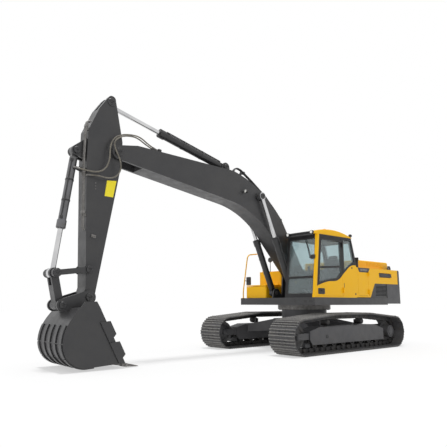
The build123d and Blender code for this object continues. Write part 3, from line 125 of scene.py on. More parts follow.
@dataclass
class Shape:
    """A surface: its points, its faces and, where it has one, a wear of 0 to 1 at each point."""

    verts: Array
    faces: list[tuple[int, ...]]
    wear: Array | None = None

    @classmethod
    def grid(cls, points: Array, ring: bool = False) -> Shape:
        """Closed surface over rows of rings of points.

        Args:
            points: an array of rows, columns and three coordinates.
            ring: whether the last row joins the first.

        Returns:
            Quads between neighbours in both directions, with a face over each end unless it is a ring.
        """
        rows, columns = points.shape[:2]
        steps = np.arange(rows if ring else rows - 1), np.arange(columns)
        row, column = np.meshgrid(*steps, indexing="ij")
        above, beside = (row + 1) % rows, (column + 1) % columns
        across = np.stack([column, beside, beside, column], -1)
        corners = np.stack([row, row, above, above], -1) * columns + across
        faces = corners.reshape(-1, 4).tolist()
        if not ring:
            ends = np.arange(columns)
            faces += [ends[::-1].tolist(), (ends + (rows - 1) * columns).tolist()]
        return cls(points.reshape(-1, 3), [tuple(face) for face in faces])

    def __add__(self, other: Shape) -> Shape:
        """Both surfaces as one."""
        size = len(self.verts)
        faces = self.faces + [tuple(corner + size for corner in face) for face in other.faces]
        return Shape(np.vstack([self.verts, other.verts]), faces)

    def moved(self, shift: Sequence[float]) -> Shape:
        """The surface carried by a shift."""
        return Shape(self.verts + shift, self.faces, self.wear)

    def copies(self, frames: Array) -> Shape:
        """Copies of the surface: its points carried by each of a stack of 3 by 4 frames at once."""
        turned = np.einsum("fij,vj->fvi", frames[:, :, :3], self.verts) + frames[:, None, :, 3]
        starts = range(0, len(frames) * len(self.verts), len(self.verts))
        faces = [tuple(corner + start for corner in face) for start in starts for face in self.faces]
        wear = None if self.wear is None else np.tile(self.wear, len(frames))
        return Shape(turned.reshape(-1, 3), faces, wear)

    def mirrored(self) -> Shape:
        """The surface with its copy on the other side of the machine's middle plane."""
        return self + Shape(self.verts * (1.0, -1.0, 1.0), [face[::-1] for face in self.faces])


def joined(shapes: Iterable[Shape]) -> Shape:
    """Many surfaces as one."""
    return reduce(Shape.__add__, shapes)


def frames_at(places: Array, along: Array, up: Array) -> Array:
    """Frames at places: their x lies along, their z up, and their y is up cross along."""
    places, along, up = np.broadcast_arrays(*map(np.atleast_2d, (places, along, up)))
    return np.stack([along, np.cross(up, along), up, places], -1)


def tilted(turn: float) -> tuple[Array, Array]:
    """The forward and the upward direction, both turned up by an angle in the side view."""
    cos, sin = math.cos(turn), math.sin(turn)
    return np.array([cos, 0.0, sin]), np.array([-sin, 0.0, cos])


def square_to(axis: Array) -> Array:
    """A unit direction square to an axis."""
    return unit(np.cross(axis, X_AXIS if abs(axis[0]) < 0.9 else Z_AXIS))


def full_turn(count: int) -> Array:
    """Angles spaced evenly once round."""
    return np.linspace(0.0, 2.0 * np.pi, count, endpoint=False)


def spokes(axis: Array, count: int) -> Array:
    """Unit directions spaced evenly round an axis."""
    angle, first = full_turn(count)[:, None], square_to(axis)
    return np.cos(angle) * first + np.sin(angle) * np.cross(axis, first)


def circle(middle: Sequence[float], axis: Array, radius: float, count: int) -> Array:
    """Points spaced evenly on a circle about an axis."""
    return np.asarray(middle) + radius * spokes(axis, count)


def both_ways(half: Sequence[Pair]) -> list[Pair]:
    """Profile that is the same on both sides of height 0, from its upper half."""
    return [(-height, radius) for height, radius in half[::-1] if height > 0.0] + list(half)


def lathe(
    profile: Sequence[Pair],
    place: Sequence[float] = (0.0, 0.0, 0.0),
    axis: Array = Z_AXIS,
    sides: int = 24,
    ring: bool = False,
) -> Shape:
    """Profile turned round an axis.

    A point is the place, plus its height along the axis, plus its radius in the direction of an
    angle that goes once round.

    Args:
        profile: pairs of height and radius.
        place: where height 0 lies.
        axis: the unit axis.
        sides: steps of the angle.
        ring: whether the profile is a loop that stays clear of the axis.

    Returns:
        The closed surface.
    """
    heights, radii = np.array(profile).T[..., None, None]
    return Shape.grid(np.asarray(place) + (heights * axis + radii * spokes(axis, sides)), ring)


def tube(path: Array, radius: float, side: Array = Y_AXIS, sides: int = 12) -> Shape:
    """Round section carried along a path.

    A point is the path's point plus the radius times a direction that turns in the plane square to
    the path.

    Args:
        path: the points of the middle line.
        radius: the section's radius.
        side: a direction that the path never runs along.
        sides: steps round the section.

    Returns:
        The closed surface.
    """
    path = np.asarray(path, dtype=float)
    travel = unit(np.gradient(path, axis=0))
    across = unit(np.cross(travel, side))
    over = np.cross(travel, across)
    angle = full_turn(sides)[None, :, None]
    section = np.cos(angle) * across[:, None] + np.sin(angle) * over[:, None]
    return Shape.grid(path[:, None] + radius * section)


def bent(points: Sequence[Triple], radius: float, steps: int = 9) -> Array:
    """Path through points with each inner corner rounded.

    A rounded corner is a quadratic curve: a blend of the corner and a point on each of its two sides.

    Args:
        points: the corners, with both ends.
        radius: how far from its corner a curve starts and ends.
        steps: points on each curve.

    Returns:
        The points of the path.
    """
    corners = np.array(points)
    line = [corners[:1]]
    share = np.linspace(0.0, 1.0, steps)[:, None]
    for before, corner, after in zip(corners, corners[1:], corners[2:]):
        longest = 0.45 * min(np.linalg.norm(before - corner), np.linalg.norm(after - corner))
        reach = min(radius, longest)
        start, end = corner + reach * unit(before - corner), corner + reach * unit(after - corner)
        line.append((1 - share) ** 2 * start + 2 * share * (1 - share) * corner + share**2 * end)
    return np.vstack(line + [corners[-1:]])


def prism(
    outline: Array, place: Sequence[float], across: Array, up: Array, depth: float, bevel: float = 0.0
) -> Shape:
    """Outline carried along its plane's normal, with both rims drawn in by a bevel.

    A point moves in by the bevel along the sum of its two edges' normals, divided by one plus their
    product, which keeps all edges at the same distance.

    Args:
        outline: counter-clockwise points in the plane.
        place: the plane's origin.
        across: the plane's first direction.
        up: the plane's second direction.
        depth: length along across cross up.
        bevel: width of the rims.

    Returns:
        The closed surface.
    """
    outline = np.asarray(outline, dtype=float)
    step = unit(np.roll(outline, -1, axis=0) - outline)
    after = np.stack([step[:, 1], -step[:, 0]], -1)
    before = np.roll(after, 1, axis=0)
    shift = (before + after) / (1.0 + np.sum(before * after, axis=1))[:, None]
    drawn = np.array([bevel, 0.0, 0.0, bevel])[:, None, None]
    flat = outline[None] - drawn * shift[None]
    height = np.array([0.0, bevel, depth - bevel, depth])[:, None, None]
    points = flat[..., :1] * across + flat[..., 1:] * up + height * np.cross(across, up)
    return Shape.grid(np.asarray(place) + (points if bevel else points[1:3]))


def rounded(width: float, height: float, radius: float, steps: int = 5) -> Array:
    """Rounded rectangle about the origin: four quarter circles, counter-clockwise."""
    angle = np.linspace(0.0, np.pi / 2.0, steps)
    turns = np.concatenate([angle + quarter * np.pi / 2.0 for quarter in range(4)])
    corners = np.repeat([(1.0, 1.0), (-1.0, 1.0), (-1.0, -1.0), (1.0, -1.0)], steps, axis=0)
    half = np.array([width / 2.0 - radius, height / 2.0 - radius])
    return corners * half + radius * np.stack([np.cos(turns), np.sin(turns)], -1)


def pillow(half: Sequence[float], edge: float, rows: int, columns: int) -> Shape:
    """Rounded block about the origin: a ball whose sines and cosines are raised to a small power.

    Args:
        half: half sizes along the axes.
        edge: the power, smaller for sharper edges.
        rows: steps from the lowest point to the highest.
        columns: steps round.

    Returns:
        The closed surface.
    """

    def power(wave: Array) -> Array:
        """Wave raised to the power, with its sign kept."""
        return np.sign(wave) * np.abs(wave) ** edge

    rise = np.linspace(-np.pi / 2.0, np.pi / 2.0, rows)[:, None]
    turn = np.linspace(-np.pi, np.pi, columns, endpoint=False)[None]
    round_x = power(np.cos(rise)) * power(np.cos(turn))
    round_y = power(np.cos(rise)) * power(np.sin(turn))
    round_z = power(np.sin(rise)) * np.ones_like(turn)
    return Shape.grid(np.stack([round_x, round_y, round_z], -1) * np.asarray(half))


def bolt_heads(places: Array, axis: Array, radius: float, height: float) -> Shape:
    """Six-sided heads that stand on places and point along an axis."""
    head = lathe([(0.0, radius), (0.75 * height, radius), (height, 0.8 * radius)], sides=6)
    return head.copies(frames_at(places, square_to(axis), axis))


class Finish(Enum):
    """The finishes that the machine's pieces can have."""

    YELLOW = "yellow_paint"
    GREY = "grey_paint"
    DARK = "dark_paint"
    BLACK = "black_paint"
    CAB = "cab_paint"
    ROOF = "roof_paint"
    TRACK = "track_steel"
    STEEL = "bare_steel"
    IRON = "engine_iron"
    CHROME = "chrome"
    PLASTIC = "black_plastic"
    GLASS = "glass"
    FABRIC = "seat_fabric"
    RUBBER = "hose_rubber"
    LENS = "lamp_glass"
    MIRROR = "mirror_glass"
    AMBER = "beacon_glass"
    PLATE = "plate_yellow"
    LINK = "chain_steel"
    HINGE = "hinge_paint"
    # Bucket barrel: black paint lightened to metallic grey, a painted highlight.
    BARREL = "barrel_grey_painted_highlight"
    HOSE = "hose_cover"
    SCREEN = "dark_screen"


def linear(red: int, green: int, blue: int) -> Colour:
    """Linear colour of an sRGB colour given in steps of 0 to 255, by the sRGB curve."""
    steps = np.array([red, green, blue]) / 255.0
    low, high = steps / 12.92, ((steps + 0.055) / 1.055) ** 2.4
    return (*np.where(steps <= 0.04045, low, high).tolist(), 1.0)


@dataclass(frozen=True)
class Grain:
    """A value that a noise over Object coordinates varies.

    The scale is in waves to the metre. The noise's two levels give the value's start and end, and the
    value is held beyond them.
    """

    scale: float
    detail: float = 3.0
    rough: float = 0.5
    levels: Pair = (0.3, 0.7)
    start: float = 0.0
    end: float = 1.0


@dataclass(frozen=True)
class Relief:
    """A fine relief made by a noise, with a strength of 0 to 1 and a depth in metres."""

    scale: float
    detail: float
    strength: float
    depth: float
    rough: float = 0.5


class Nodes:
    """A node tree, with short calls for the nodes that the looks use."""

    def __init__(self, tree: bpy.types.NodeTree) -> None:
        """Start from an empty tree."""
        self.tree = tree
        tree.nodes.clear()

    def node(self, kind: str, inputs: dict | None = None, **settings: object) -> bpy.types.Node:
        """Add a node.

        Args:
            kind: the node's type.
            inputs: values or sockets by input name or number.
            settings: the node's own properties.

        Returns:
            The new node.
        """
        made = self.tree.nodes.new(kind)
        for key, value in settings.items():
            setattr(made, key, value)
        for key, value in (inputs or {}).items():
            if isinstance(value, Socket):
                self.tree.links.new(value, made.inputs[key])
            else:
                made.inputs[key].default_value = value
        return made

    def math(self, operation: str, first: object, second: object = 0.0) -> Socket:
        """One step of arithmetic."""
        return self.node("ShaderNodeMath", {0: first, 1: second}, operation=operation).outputs[0]

    def seen(self) -> Socket:
        """One where a ray from the camera, a gloss or a glass looks straight at the surface."""
        rays = self.node("ShaderNodeLightPath").outputs
        direct = self.math("MAXIMUM", rays["Is Camera Ray"], rays["Is Glossy Ray"])
        return self.math("MAXIMUM", direct, rays["Is Transmission Ray"])


class Shader(Nodes):
    """A material's node tree over Object coordinates."""

    def __init__(self, name: str) -> None:
        """Start an empty material that reads Object coordinates."""
        self.material = bpy.data.materials.new(name)
        self.material.use_nodes = True
        super().__init__(self.material.node_tree)
        self.place = self.node("ShaderNodeTexCoord").outputs["Object"]

    def noise(self, kind: Grain | Relief) -> Socket:
        """Value of the noise of a grain or a relief."""
        inputs = {"Vector": self.place, "Scale": kind.scale, "Detail": kind.detail, "Roughness": kind.rough}
        return self.node("ShaderNodeTexNoise", inputs).outputs["Fac"]

    def span(self, value: Socket, low: float, high: float, start: float = 0.0, end: float = 1.0) -> Socket:
        """Carry a value from low..high to start..end, held at both ends."""
        inputs = {"Value": value, 1: low, 2: high, 3: start, 4: end}
        return self.node("ShaderNodeMapRange", inputs).outputs["Result"]

    def grain(self, grain: Grain) -> Socket:
        """Value that a noise varies."""
        return self.span(self.noise(grain), *grain.levels, grain.start, grain.end)

    def sine(self, value: Socket, rate: float) -> Socket:
        """Sine of a value times a rate."""
        return self.math("SINE", self.math("MULTIPLY", value, rate))

    def mix(self, share: Socket, first: object, second: object) -> Socket:
        """Colour between two colours."""
        return self.node("ShaderNodeMix", {0: share, 6: first, 7: second}, data_type="RGBA").outputs[2]

    def axes(self) -> list[Socket]:
        """X, Y and Z of the Object coordinates."""
        return list(self.node("ShaderNodeSeparateXYZ", {0: self.place}).outputs)

    def bump(self, height: Socket, strength: float, depth: float) -> Socket:
        """Normal of a bump of the given depth in metres."""
        inputs = {"Height": height, "Strength": strength, "Distance": depth}
        return self.node("ShaderNodeBump", inputs).outputs["Normal"]

    def relief(self, relief: Relief) -> Socket:
        """Normal of a fine relief."""
        return self.bump(self.noise(relief), relief.strength, relief.depth)

    def surface(self, **inputs: object) -> Material:
        """Close the tree with a Principled surface.

        Args:
            inputs: the surface's inputs, with spaces written as underscores.

        Returns:
            The finished material.
        """
        named = {key.replace("_", " "): value for key, value in inputs.items()}
        shader = self.node("ShaderNodeBsdfPrincipled", named)
        self.node("ShaderNodeOutputMaterial", {"Surface": shader.outputs["BSDF"]})
        return self.material


@dataclass(frozen=True)
class Paint:
    """Sprayed paint: orange peel, soft patches of tone and a little dust in them."""

    colour: Colour
    dust: Colour
    roughness: float = 0.4
    coat: float = 0.15
    dust_share: float = 0.12
    specular: float = 0.5
    coat_roughness: float = 0.2
    smoother: float = 0.07
    rougher: float = 0.1
    fine_dust: Grain = Grain(55.0, 2.0, levels=(0.55, 0.8), end=0.10)
    peel: Relief = Relief(260.0, 2.0, 0.12, 0.0008)

    def dusted(self, shader: Shader, colour: Socket | None = None) -> Socket:
        """This paint's colour, or the one given, with soft patches of tone and dust."""
        patch = shader.grain(Grain(1.7, 5.0, 0.6, (0.35, 0.75), end=self.dust_share))
        fine = shader.grain(self.fine_dust)
        base = self.colour if colour is None else colour
        return shader.mix(fine, shader.mix(patch, base, self.dust), self.dust)

    def close(self, shader: Shader, colour: Socket) -> Material:
        """Finish the tree with this paint's gloss and peel."""
        least, most = self.roughness - self.smoother, self.roughness + self.rougher
        return shader.surface(
            Base_Color=colour,
            Roughness=shader.grain(Grain(6.0, 4.0, start=least, end=most)),
            Normal=shader.relief(self.peel),
            Coat_Weight=self.coat,
            Coat_Roughness=self.coat_roughness,
            Specular_IOR_Level=self.specular,
        )

    def apply(self, shader: Shader) -> Material:
        """Plain coat of this paint."""
        return self.close(shader, self.dusted(shader))


@dataclass(frozen=True)
class Skin:
    """A plain finish: a colour between two tones, a gloss and, where it has one, a fine relief.

    Without a tone the first colour is the same all over, and so is a gloss that is one number.
    """

    colours: tuple[Colour, ...]
    tone: Grain | None
    gloss: Grain | float
    relief: Relief | None = None
    metallic: float = 0.0
    coat: float = 0.0
    transmission: float = 0.0
    ior: float = 1.5

    def apply(self, shader: Shader) -> Material:
        """Finish the tree with this skin."""
        colour, gloss = self.colours[0], self.gloss
        inputs = {"Normal": shader.relief(self.relief)} if self.relief else {}
        return shader.surface(
            Base_Color=shader.mix(shader.grain(self.tone), *self.colours) if self.tone else colour,
            Roughness=shader.grain(gloss) if isinstance(gloss, Grain) else gloss,
            Metallic=self.metallic,
            Coat_Weight=self.coat,
            Transmission_Weight=self.transmission,
            IOR=self.ior,
            **inputs,
        )


YELLOW_PAINT = Paint(linear(246, 187, 5), linear(226, 176, 30), 0.36, 0.1, 0.08, 0.2)
GREY_PAINT = Paint(linear(47, 47, 49), linear(78, 76, 73), 0.42, 0.1, 0.22)
DARK_PAINT = Paint(linear(66, 66, 69), linear(92, 89, 84), 0.5, 0.08, 0.2)
BLACK_PAINT = Paint(linear(36, 36, 38), linear(70, 68, 65), 0.42, 0.12, 0.15)

PLAIN_FINISHES: dict[Finish, Paint | Skin] = {
    Finish.YELLOW: YELLOW_PAINT,
    Finish.GREY: GREY_PAINT,
    Finish.DARK: DARK_PAINT,
    Finish.BLACK: BLACK_PAINT,
    Finish.PLATE: Paint(linear(247, 228, 30), linear(225, 205, 60), 0.35, 0.2, 0.08),
    Finish.STEEL: Skin(
        (linear(132, 130, 128), linear(84, 81, 78)),
        tone=Grain(14.0, 5.0, 0.6, (0.35, 0.7), end=0.7),
        gloss=Grain(40.0, start=0.35, end=0.55),
        relief=Relief(300.0, 2.0, 0.15, 0.0006),
        metallic=0.7,
    ),
    Finish.IRON: Skin(
        (linear(70, 72, 76), linear(96, 96, 96)),
        tone=Grain(9.0, 5.0),
        gloss=0.6,
        relief=Relief(90.0, 4.0, 0.4, 0.002),
        metallic=0.4,
    ),
    Finish.CHROME: Skin(
        (linear(214, 214, 214), linear(186, 186, 188)),
        tone=Grain(2.0),
        gloss=Grain(5.0, 4.0, levels=(0.35, 0.7), start=0.10, end=0.24),
        metallic=1.0,
    ),
    Finish.PLASTIC: Skin(
        (linear(34, 34, 36), linear(47, 46, 46)),
        tone=Grain(5.0, 4.0, levels=(0.35, 0.7)),
        gloss=Grain(18.0, start=0.45, end=0.62),
        relief=Relief(700.0, 2.0, 0.25, 0.0006),
    ),
    Finish.RUBBER: Skin(
        (linear(40, 40, 40), linear(66, 64, 60)),
        tone=Grain(12.0, 4.0, levels=(0.4, 0.7), end=0.6),
        gloss=Grain(30.0, start=0.5, end=0.68),
        relief=Relief(420.0, 2.0, 0.2, 0.0005),
    ),
    Finish.GLASS: Skin(
        (linear(210, 225, 227), linear(190, 203, 205)),
        tone=Grain(2.4, 4.0, levels=(0.45, 0.8), end=0.25),
        gloss=Grain(3.0, 4.0, levels=(0.4, 0.8), start=0.02, end=0.10),
        transmission=0.9,
        ior=1.45,
    ),
    Finish.MIRROR: Skin(
        (linear(205, 208, 212),),
        tone=None,
        gloss=Grain(8.0, levels=(0.4, 0.7), start=0.02, end=0.07),
        metallic=1.0,
    ),
    Finish.AMBER: Skin((linear(232, 120, 20), linear(244, 150, 40)), tone=Grain(30.0), gloss=0.2, coat=0.4),
    Finish.LINK: Skin(
        (linear(42, 42, 44), linear(74, 70, 65)),
        tone=Grain(7.0, 6.0, 0.65, (0.4, 0.75), end=0.7),
        gloss=Grain(24.0, 4.0, start=0.42, end=0.68),
        relief=Relief(150.0, 3.0, 0.25, 0.0015),
        metallic=0.3,
    ),
    # Painted highlight: the bucket cylinder's barrel is black paint, given a lighter metallic grey that
    # stands in for its strong highlights.
    Finish.BARREL: Skin(
        (linear(112, 112, 115), linear(94, 93, 92)),
        tone=Grain(3.0, 5.0, levels=(0.35, 0.7)),
        gloss=Grain(18.0, 4.0, start=0.26, end=0.42),
        metallic=0.55,
    ),
    Finish.SCREEN: Skin(
        (linear(22, 26, 30),),
        tone=None,
        gloss=Grain(12.0, levels=(0.4, 0.7), start=0.08, end=0.16),
        coat=0.3,
    ),
}


@dataclass(frozen=True)
class CabStyle:
    """Where the yellow of the cab ends.

    The sweep is points of X and Z along the left side, and the curve that runs through them is read
    between the two heights of its span. The pillar's edge is the X where it starts at floor height.
    """

    sweep: tuple[Pair, ...] = (
        (1.26, 1.63), (0.77, 1.76), (0.34, 1.81), (0.01, 2.03), (-0.32, 2.22), (-0.53, 2.23),
    )
    sweep_span: Pair = (1.3, 2.4)
    side: float = 1.36
    pillar_edge: float = 1.245
    pillar_lean: float = -0.1185
    floor: float = 1.362
    roof_edge: float = 1.372
    visor_rear: float = 0.86
    black_hinges: float = 2.3


class FinishBook:
    """Makes each finish's material once and hands it out."""

    def __init__(self, style: CabStyle = CabStyle()) -> None:
        """Start with no material made."""
        self.style = style
        self.made: dict[Finish, Material] = {}

    def get(self, finish: Finish) -> Material:
        """The material of a finish: a plain one, or what the method of its name makes."""
        if finish not in self.made:
            plain = PLAIN_FINISHES.get(finish)
            make = plain.apply if plain else getattr(self, f"_{finish.name.lower()}")
            self.made[finish] = make(Shader(finish.value))
        return self.made[finish]

    @staticmethod
    def _two_paints(shader: Shader, share: Socket, first: Paint, second: Paint) -> Material:
        """Two paints under one coat."""
        return YELLOW_PAINT.close(shader, shader.mix(share, first.dusted(shader), second.dusted(shader)))

    def _cab(self, shader: Shader) -> Material:
        """Cab paint: yellow below the sweep and on the front left pillar, black elsewhere.

        The sweep is a curve of height over X, read from a curve node.
        """
        style = self.style
        x, y, z = shader.axes()
        low, high = style.sweep_span
        rear, front = style.sweep[-1][0], style.sweep[0][0]
        curve = shader.node("ShaderNodeFloatCurve", {"Value": shader.span(x, rear, front)})
        points = curve.mapping.curves[0].points
        places = [((px - rear) / (front - rear), (pz - low) / (high - low)) for px, pz in style.sweep[::-1]]
        points[0].location, points[1].location = places[0], places[-1]
        for place in places[1:-1]:
            points.new(*place)
        curve.mapping.update()
        edge = shader.span(curve.outputs["Value"], 0.0, 1.0, low, high)
        below = shader.math("LESS_THAN", z, edge)
        lean = shader.math("MULTIPLY", shader.math("SUBTRACT", z, style.floor), style.pillar_lean)
        pillar = shader.math("GREATER_THAN", shader.math("SUBTRACT", x, lean), style.pillar_edge)
        left = shader.math("GREATER_THAN", y, style.side)
        yellow = shader.math("MULTIPLY", left, shader.math("MAXIMUM", below, pillar))
        return self._two_paints(shader, yellow, BLACK_PAINT, YELLOW_PAINT)

    def _roof(self, shader: Shader) -> Material:
        """Roof paint: yellow with a black visor at the front."""
        x, y, _ = shader.axes()
        front = shader.math("GREATER_THAN", x, self.style.visor_rear)
        inside = shader.math("LESS_THAN", y, self.style.roof_edge)
        return self._two_paints(shader, shader.math("MULTIPLY", front, inside), YELLOW_PAINT, BLACK_PAINT)

    def _hinge(self, shader: Shader) -> Material:
        """The panels' paint on the low hinges, and black on the one beside the cab's window."""
        high = shader.math("GREATER_THAN", shader.axes()[2], self.style.black_hinges)
        colour = shader.mix(high, YELLOW_PAINT.colour, BLACK_PAINT.colour)
        return YELLOW_PAINT.close(shader, YELLOW_PAINT.dusted(shader, colour))

    def _track(self, shader: Shader) -> Material:
        """Track steel: dull dark paint rubbed to steel where it meets the ground, with dry dust."""
        worn = shader.node("ShaderNodeAttribute", attribute_name="wear").outputs["Fac"]
        chips = shader.grain(Grain(45.0, 5.0, 0.7, (0.35, 0.65)))
        dust = shader.grain(Grain(3.5, 6.0, 0.65, (0.4, 0.75), end=0.5))
        dark = shader.mix(dust, linear(74, 74, 76), linear(106, 102, 96))
        return shader.surface(
            Base_Color=shader.mix(shader.math("MULTIPLY", worn, chips), dark, linear(150, 148, 144)),
            Roughness=shader.grain(Grain(20.0, 4.0, start=0.45, end=0.72)),
            Metallic=0.25,
            Normal=shader.relief(Relief(120.0, 4.0, 0.3, 0.002, 0.7)),
        )

    def _lens(self, shader: Shader) -> Material:
        """Ribbed clear lamp glass over a bright bowl."""
        ribs = shader.sine(shader.axes()[1], 420.0)
        tone = shader.span(ribs, -1.0, 1.0)
        return shader.surface(
            Base_Color=shader.mix(tone, linear(236, 236, 230), linear(250, 250, 246)),
            Roughness=0.12,
            Normal=shader.bump(ribs, 0.4, 0.002),
            Coat_Weight=0.5,
        )

    def _hose(self, shader: Shader) -> Material:
        """Woven beige cover of a hose: two slanted sets of threads, with dust."""
        x, y, z = shader.axes()
        rest = shader.math("ADD", y, z)
        threads = [shader.sine(shader.math(way, x, rest), 1100.0) for way in ("ADD", "SUBTRACT")]
        dust = shader.grain(Grain(9.0, 4.0, levels=(0.35, 0.7)))
        return shader.surface(
            Base_Color=shader.mix(dust, linear(122, 117, 106), linear(96, 92, 85)),
            Roughness=0.7,
            Normal=shader.bump(shader.math("MULTIPLY", *threads), 0.35, 0.0006),
        )

    def _fabric(self, shader: Shader) -> Material:
        """Woven seat cloth: two crossed sets of threads on Object coordinates."""
        x, y, z = shader.axes()
        threads = [shader.sine(way, 1500.0) for way in (y, shader.math("ADD", x, z))]
        fleck = shader.grain(Grain(160.0, levels=(0.4, 0.7)))
        return shader.surface(
            Base_Color=shader.mix(fleck, linear(48, 48, 52), linear(74, 74, 78)),
            Roughness=0.9,
            Sheen_Weight=0.25,
            Normal=shader.bump(shader.math("MULTIPLY", *threads), 0.5, 0.0008),
        )


NODE_FINISH: dict[Finish, tuple[str, ...]] = {
    Finish.YELLOW: (
        "side_panel_left", "side_panel_right", "service_door_left", "service_door_right", "engine_hood",
        "tanks", "tool_box", "tool_box_lid", "handrail",
    ),
    Finish.GREY: ("boom", "arm", "bucket", "bucket_wear", "rocker", "bucket_link", "upper_frame"),
    Finish.BARREL: ("bucket_barrel",),
    Finish.DARK: ("carbody", "track_frames", "tow_eyes", "counterweight", "lifting_eyes", "engine_cover"),
    Finish.BLACK: ("boom_barrels", "arm_barrel", "boom_lines", "grilles"),
    Finish.CAB: ("cab_frame", "cab_door"),
    Finish.HINGE: ("panel_hinges",),
    Finish.ROOF: ("cab_roof",),
    Finish.TRACK: (
        "track_left", "track_right", "idlers", "sprockets", "bottom_rollers", "carrier_rollers",
    ),
    Finish.STEEL: (
        "slew_ring", "upper_pins", "boom_pins", "arm_pins", "bucket_pins", "bucket_teeth", "arm_lines",
    ),
    Finish.IRON: ("engine_block",),
    Finish.CHROME: ("boom_rods", "arm_rod", "bucket_rod"),
    Finish.PLASTIC: ("intake_stack", "consoles", "work_lamps", "boom_lamp", "mirrors"),
    Finish.LENS: ("lamp_lenses", "boom_lamp_lens"),
    Finish.GLASS: ("windscreens", "cab_glass", "door_glass"),
    Finish.FABRIC: ("seat",),
}


@dataclass(frozen=True)
class PhotoCamera:
    """The camera of the photograph, as fitted to the machine's pivots and tracks."""

    place: Triple = (10.72988, 8.85508, 1.21535)
    yaw: float = math.radians(229.05)
    pitch: float = math.radians(9.57)
    lens: float = 38.07
    sensor: float = 36.0

    def add(self) -> None:
        """Make the camera and hand it to the scene."""
        level = math.cos(self.pitch)
        ahead = Vector((level * math.cos(self.yaw), level * math.sin(self.yaw), math.sin(self.pitch)))
        data = bpy.data.cameras.new("photo_camera")
        data.lens = self.lens
        data.sensor_width = self.sensor
        camera = bpy.data.objects.new("photo_camera", data)
        camera.location = self.place
        camera.rotation_euler = ahead.to_track_quat("-Z", "Y").to_euler()
        bpy.context.scene.collection.objects.link(camera)
        bpy.context.scene.camera = camera


@dataclass(frozen=True)
class Lamp:
    """A broad lamp: its strength, how broad it looks from the floor, its rotation and its shadow."""

    name: str
    energy: float
    breadth: float
    turn: Triple
    shadow: bool

    def add(self) -> None:
        """Hang the lamp in the scene."""
        sun = bpy.data.lights.new(self.name, "SUN")
        sun.energy = self.energy
        sun.angle = self.breadth
        sun.use_shadow = self.shadow
        lamp = bpy.data.objects.new(self.name, sun)
        lamp.rotation_euler = self.turn
        bpy.context.scene.collection.objects.link(lamp)


KEY_TURN = (math.radians(32), math.radians(8), math.radians(48))
LAMPS = (
    Lamp("soft_key", 0.85, math.radians(40.0), KEY_TURN, False),
    Lamp("overhead", 1.75, math.radians(10.0), (0.0, 0.0, 0.0), True),
)


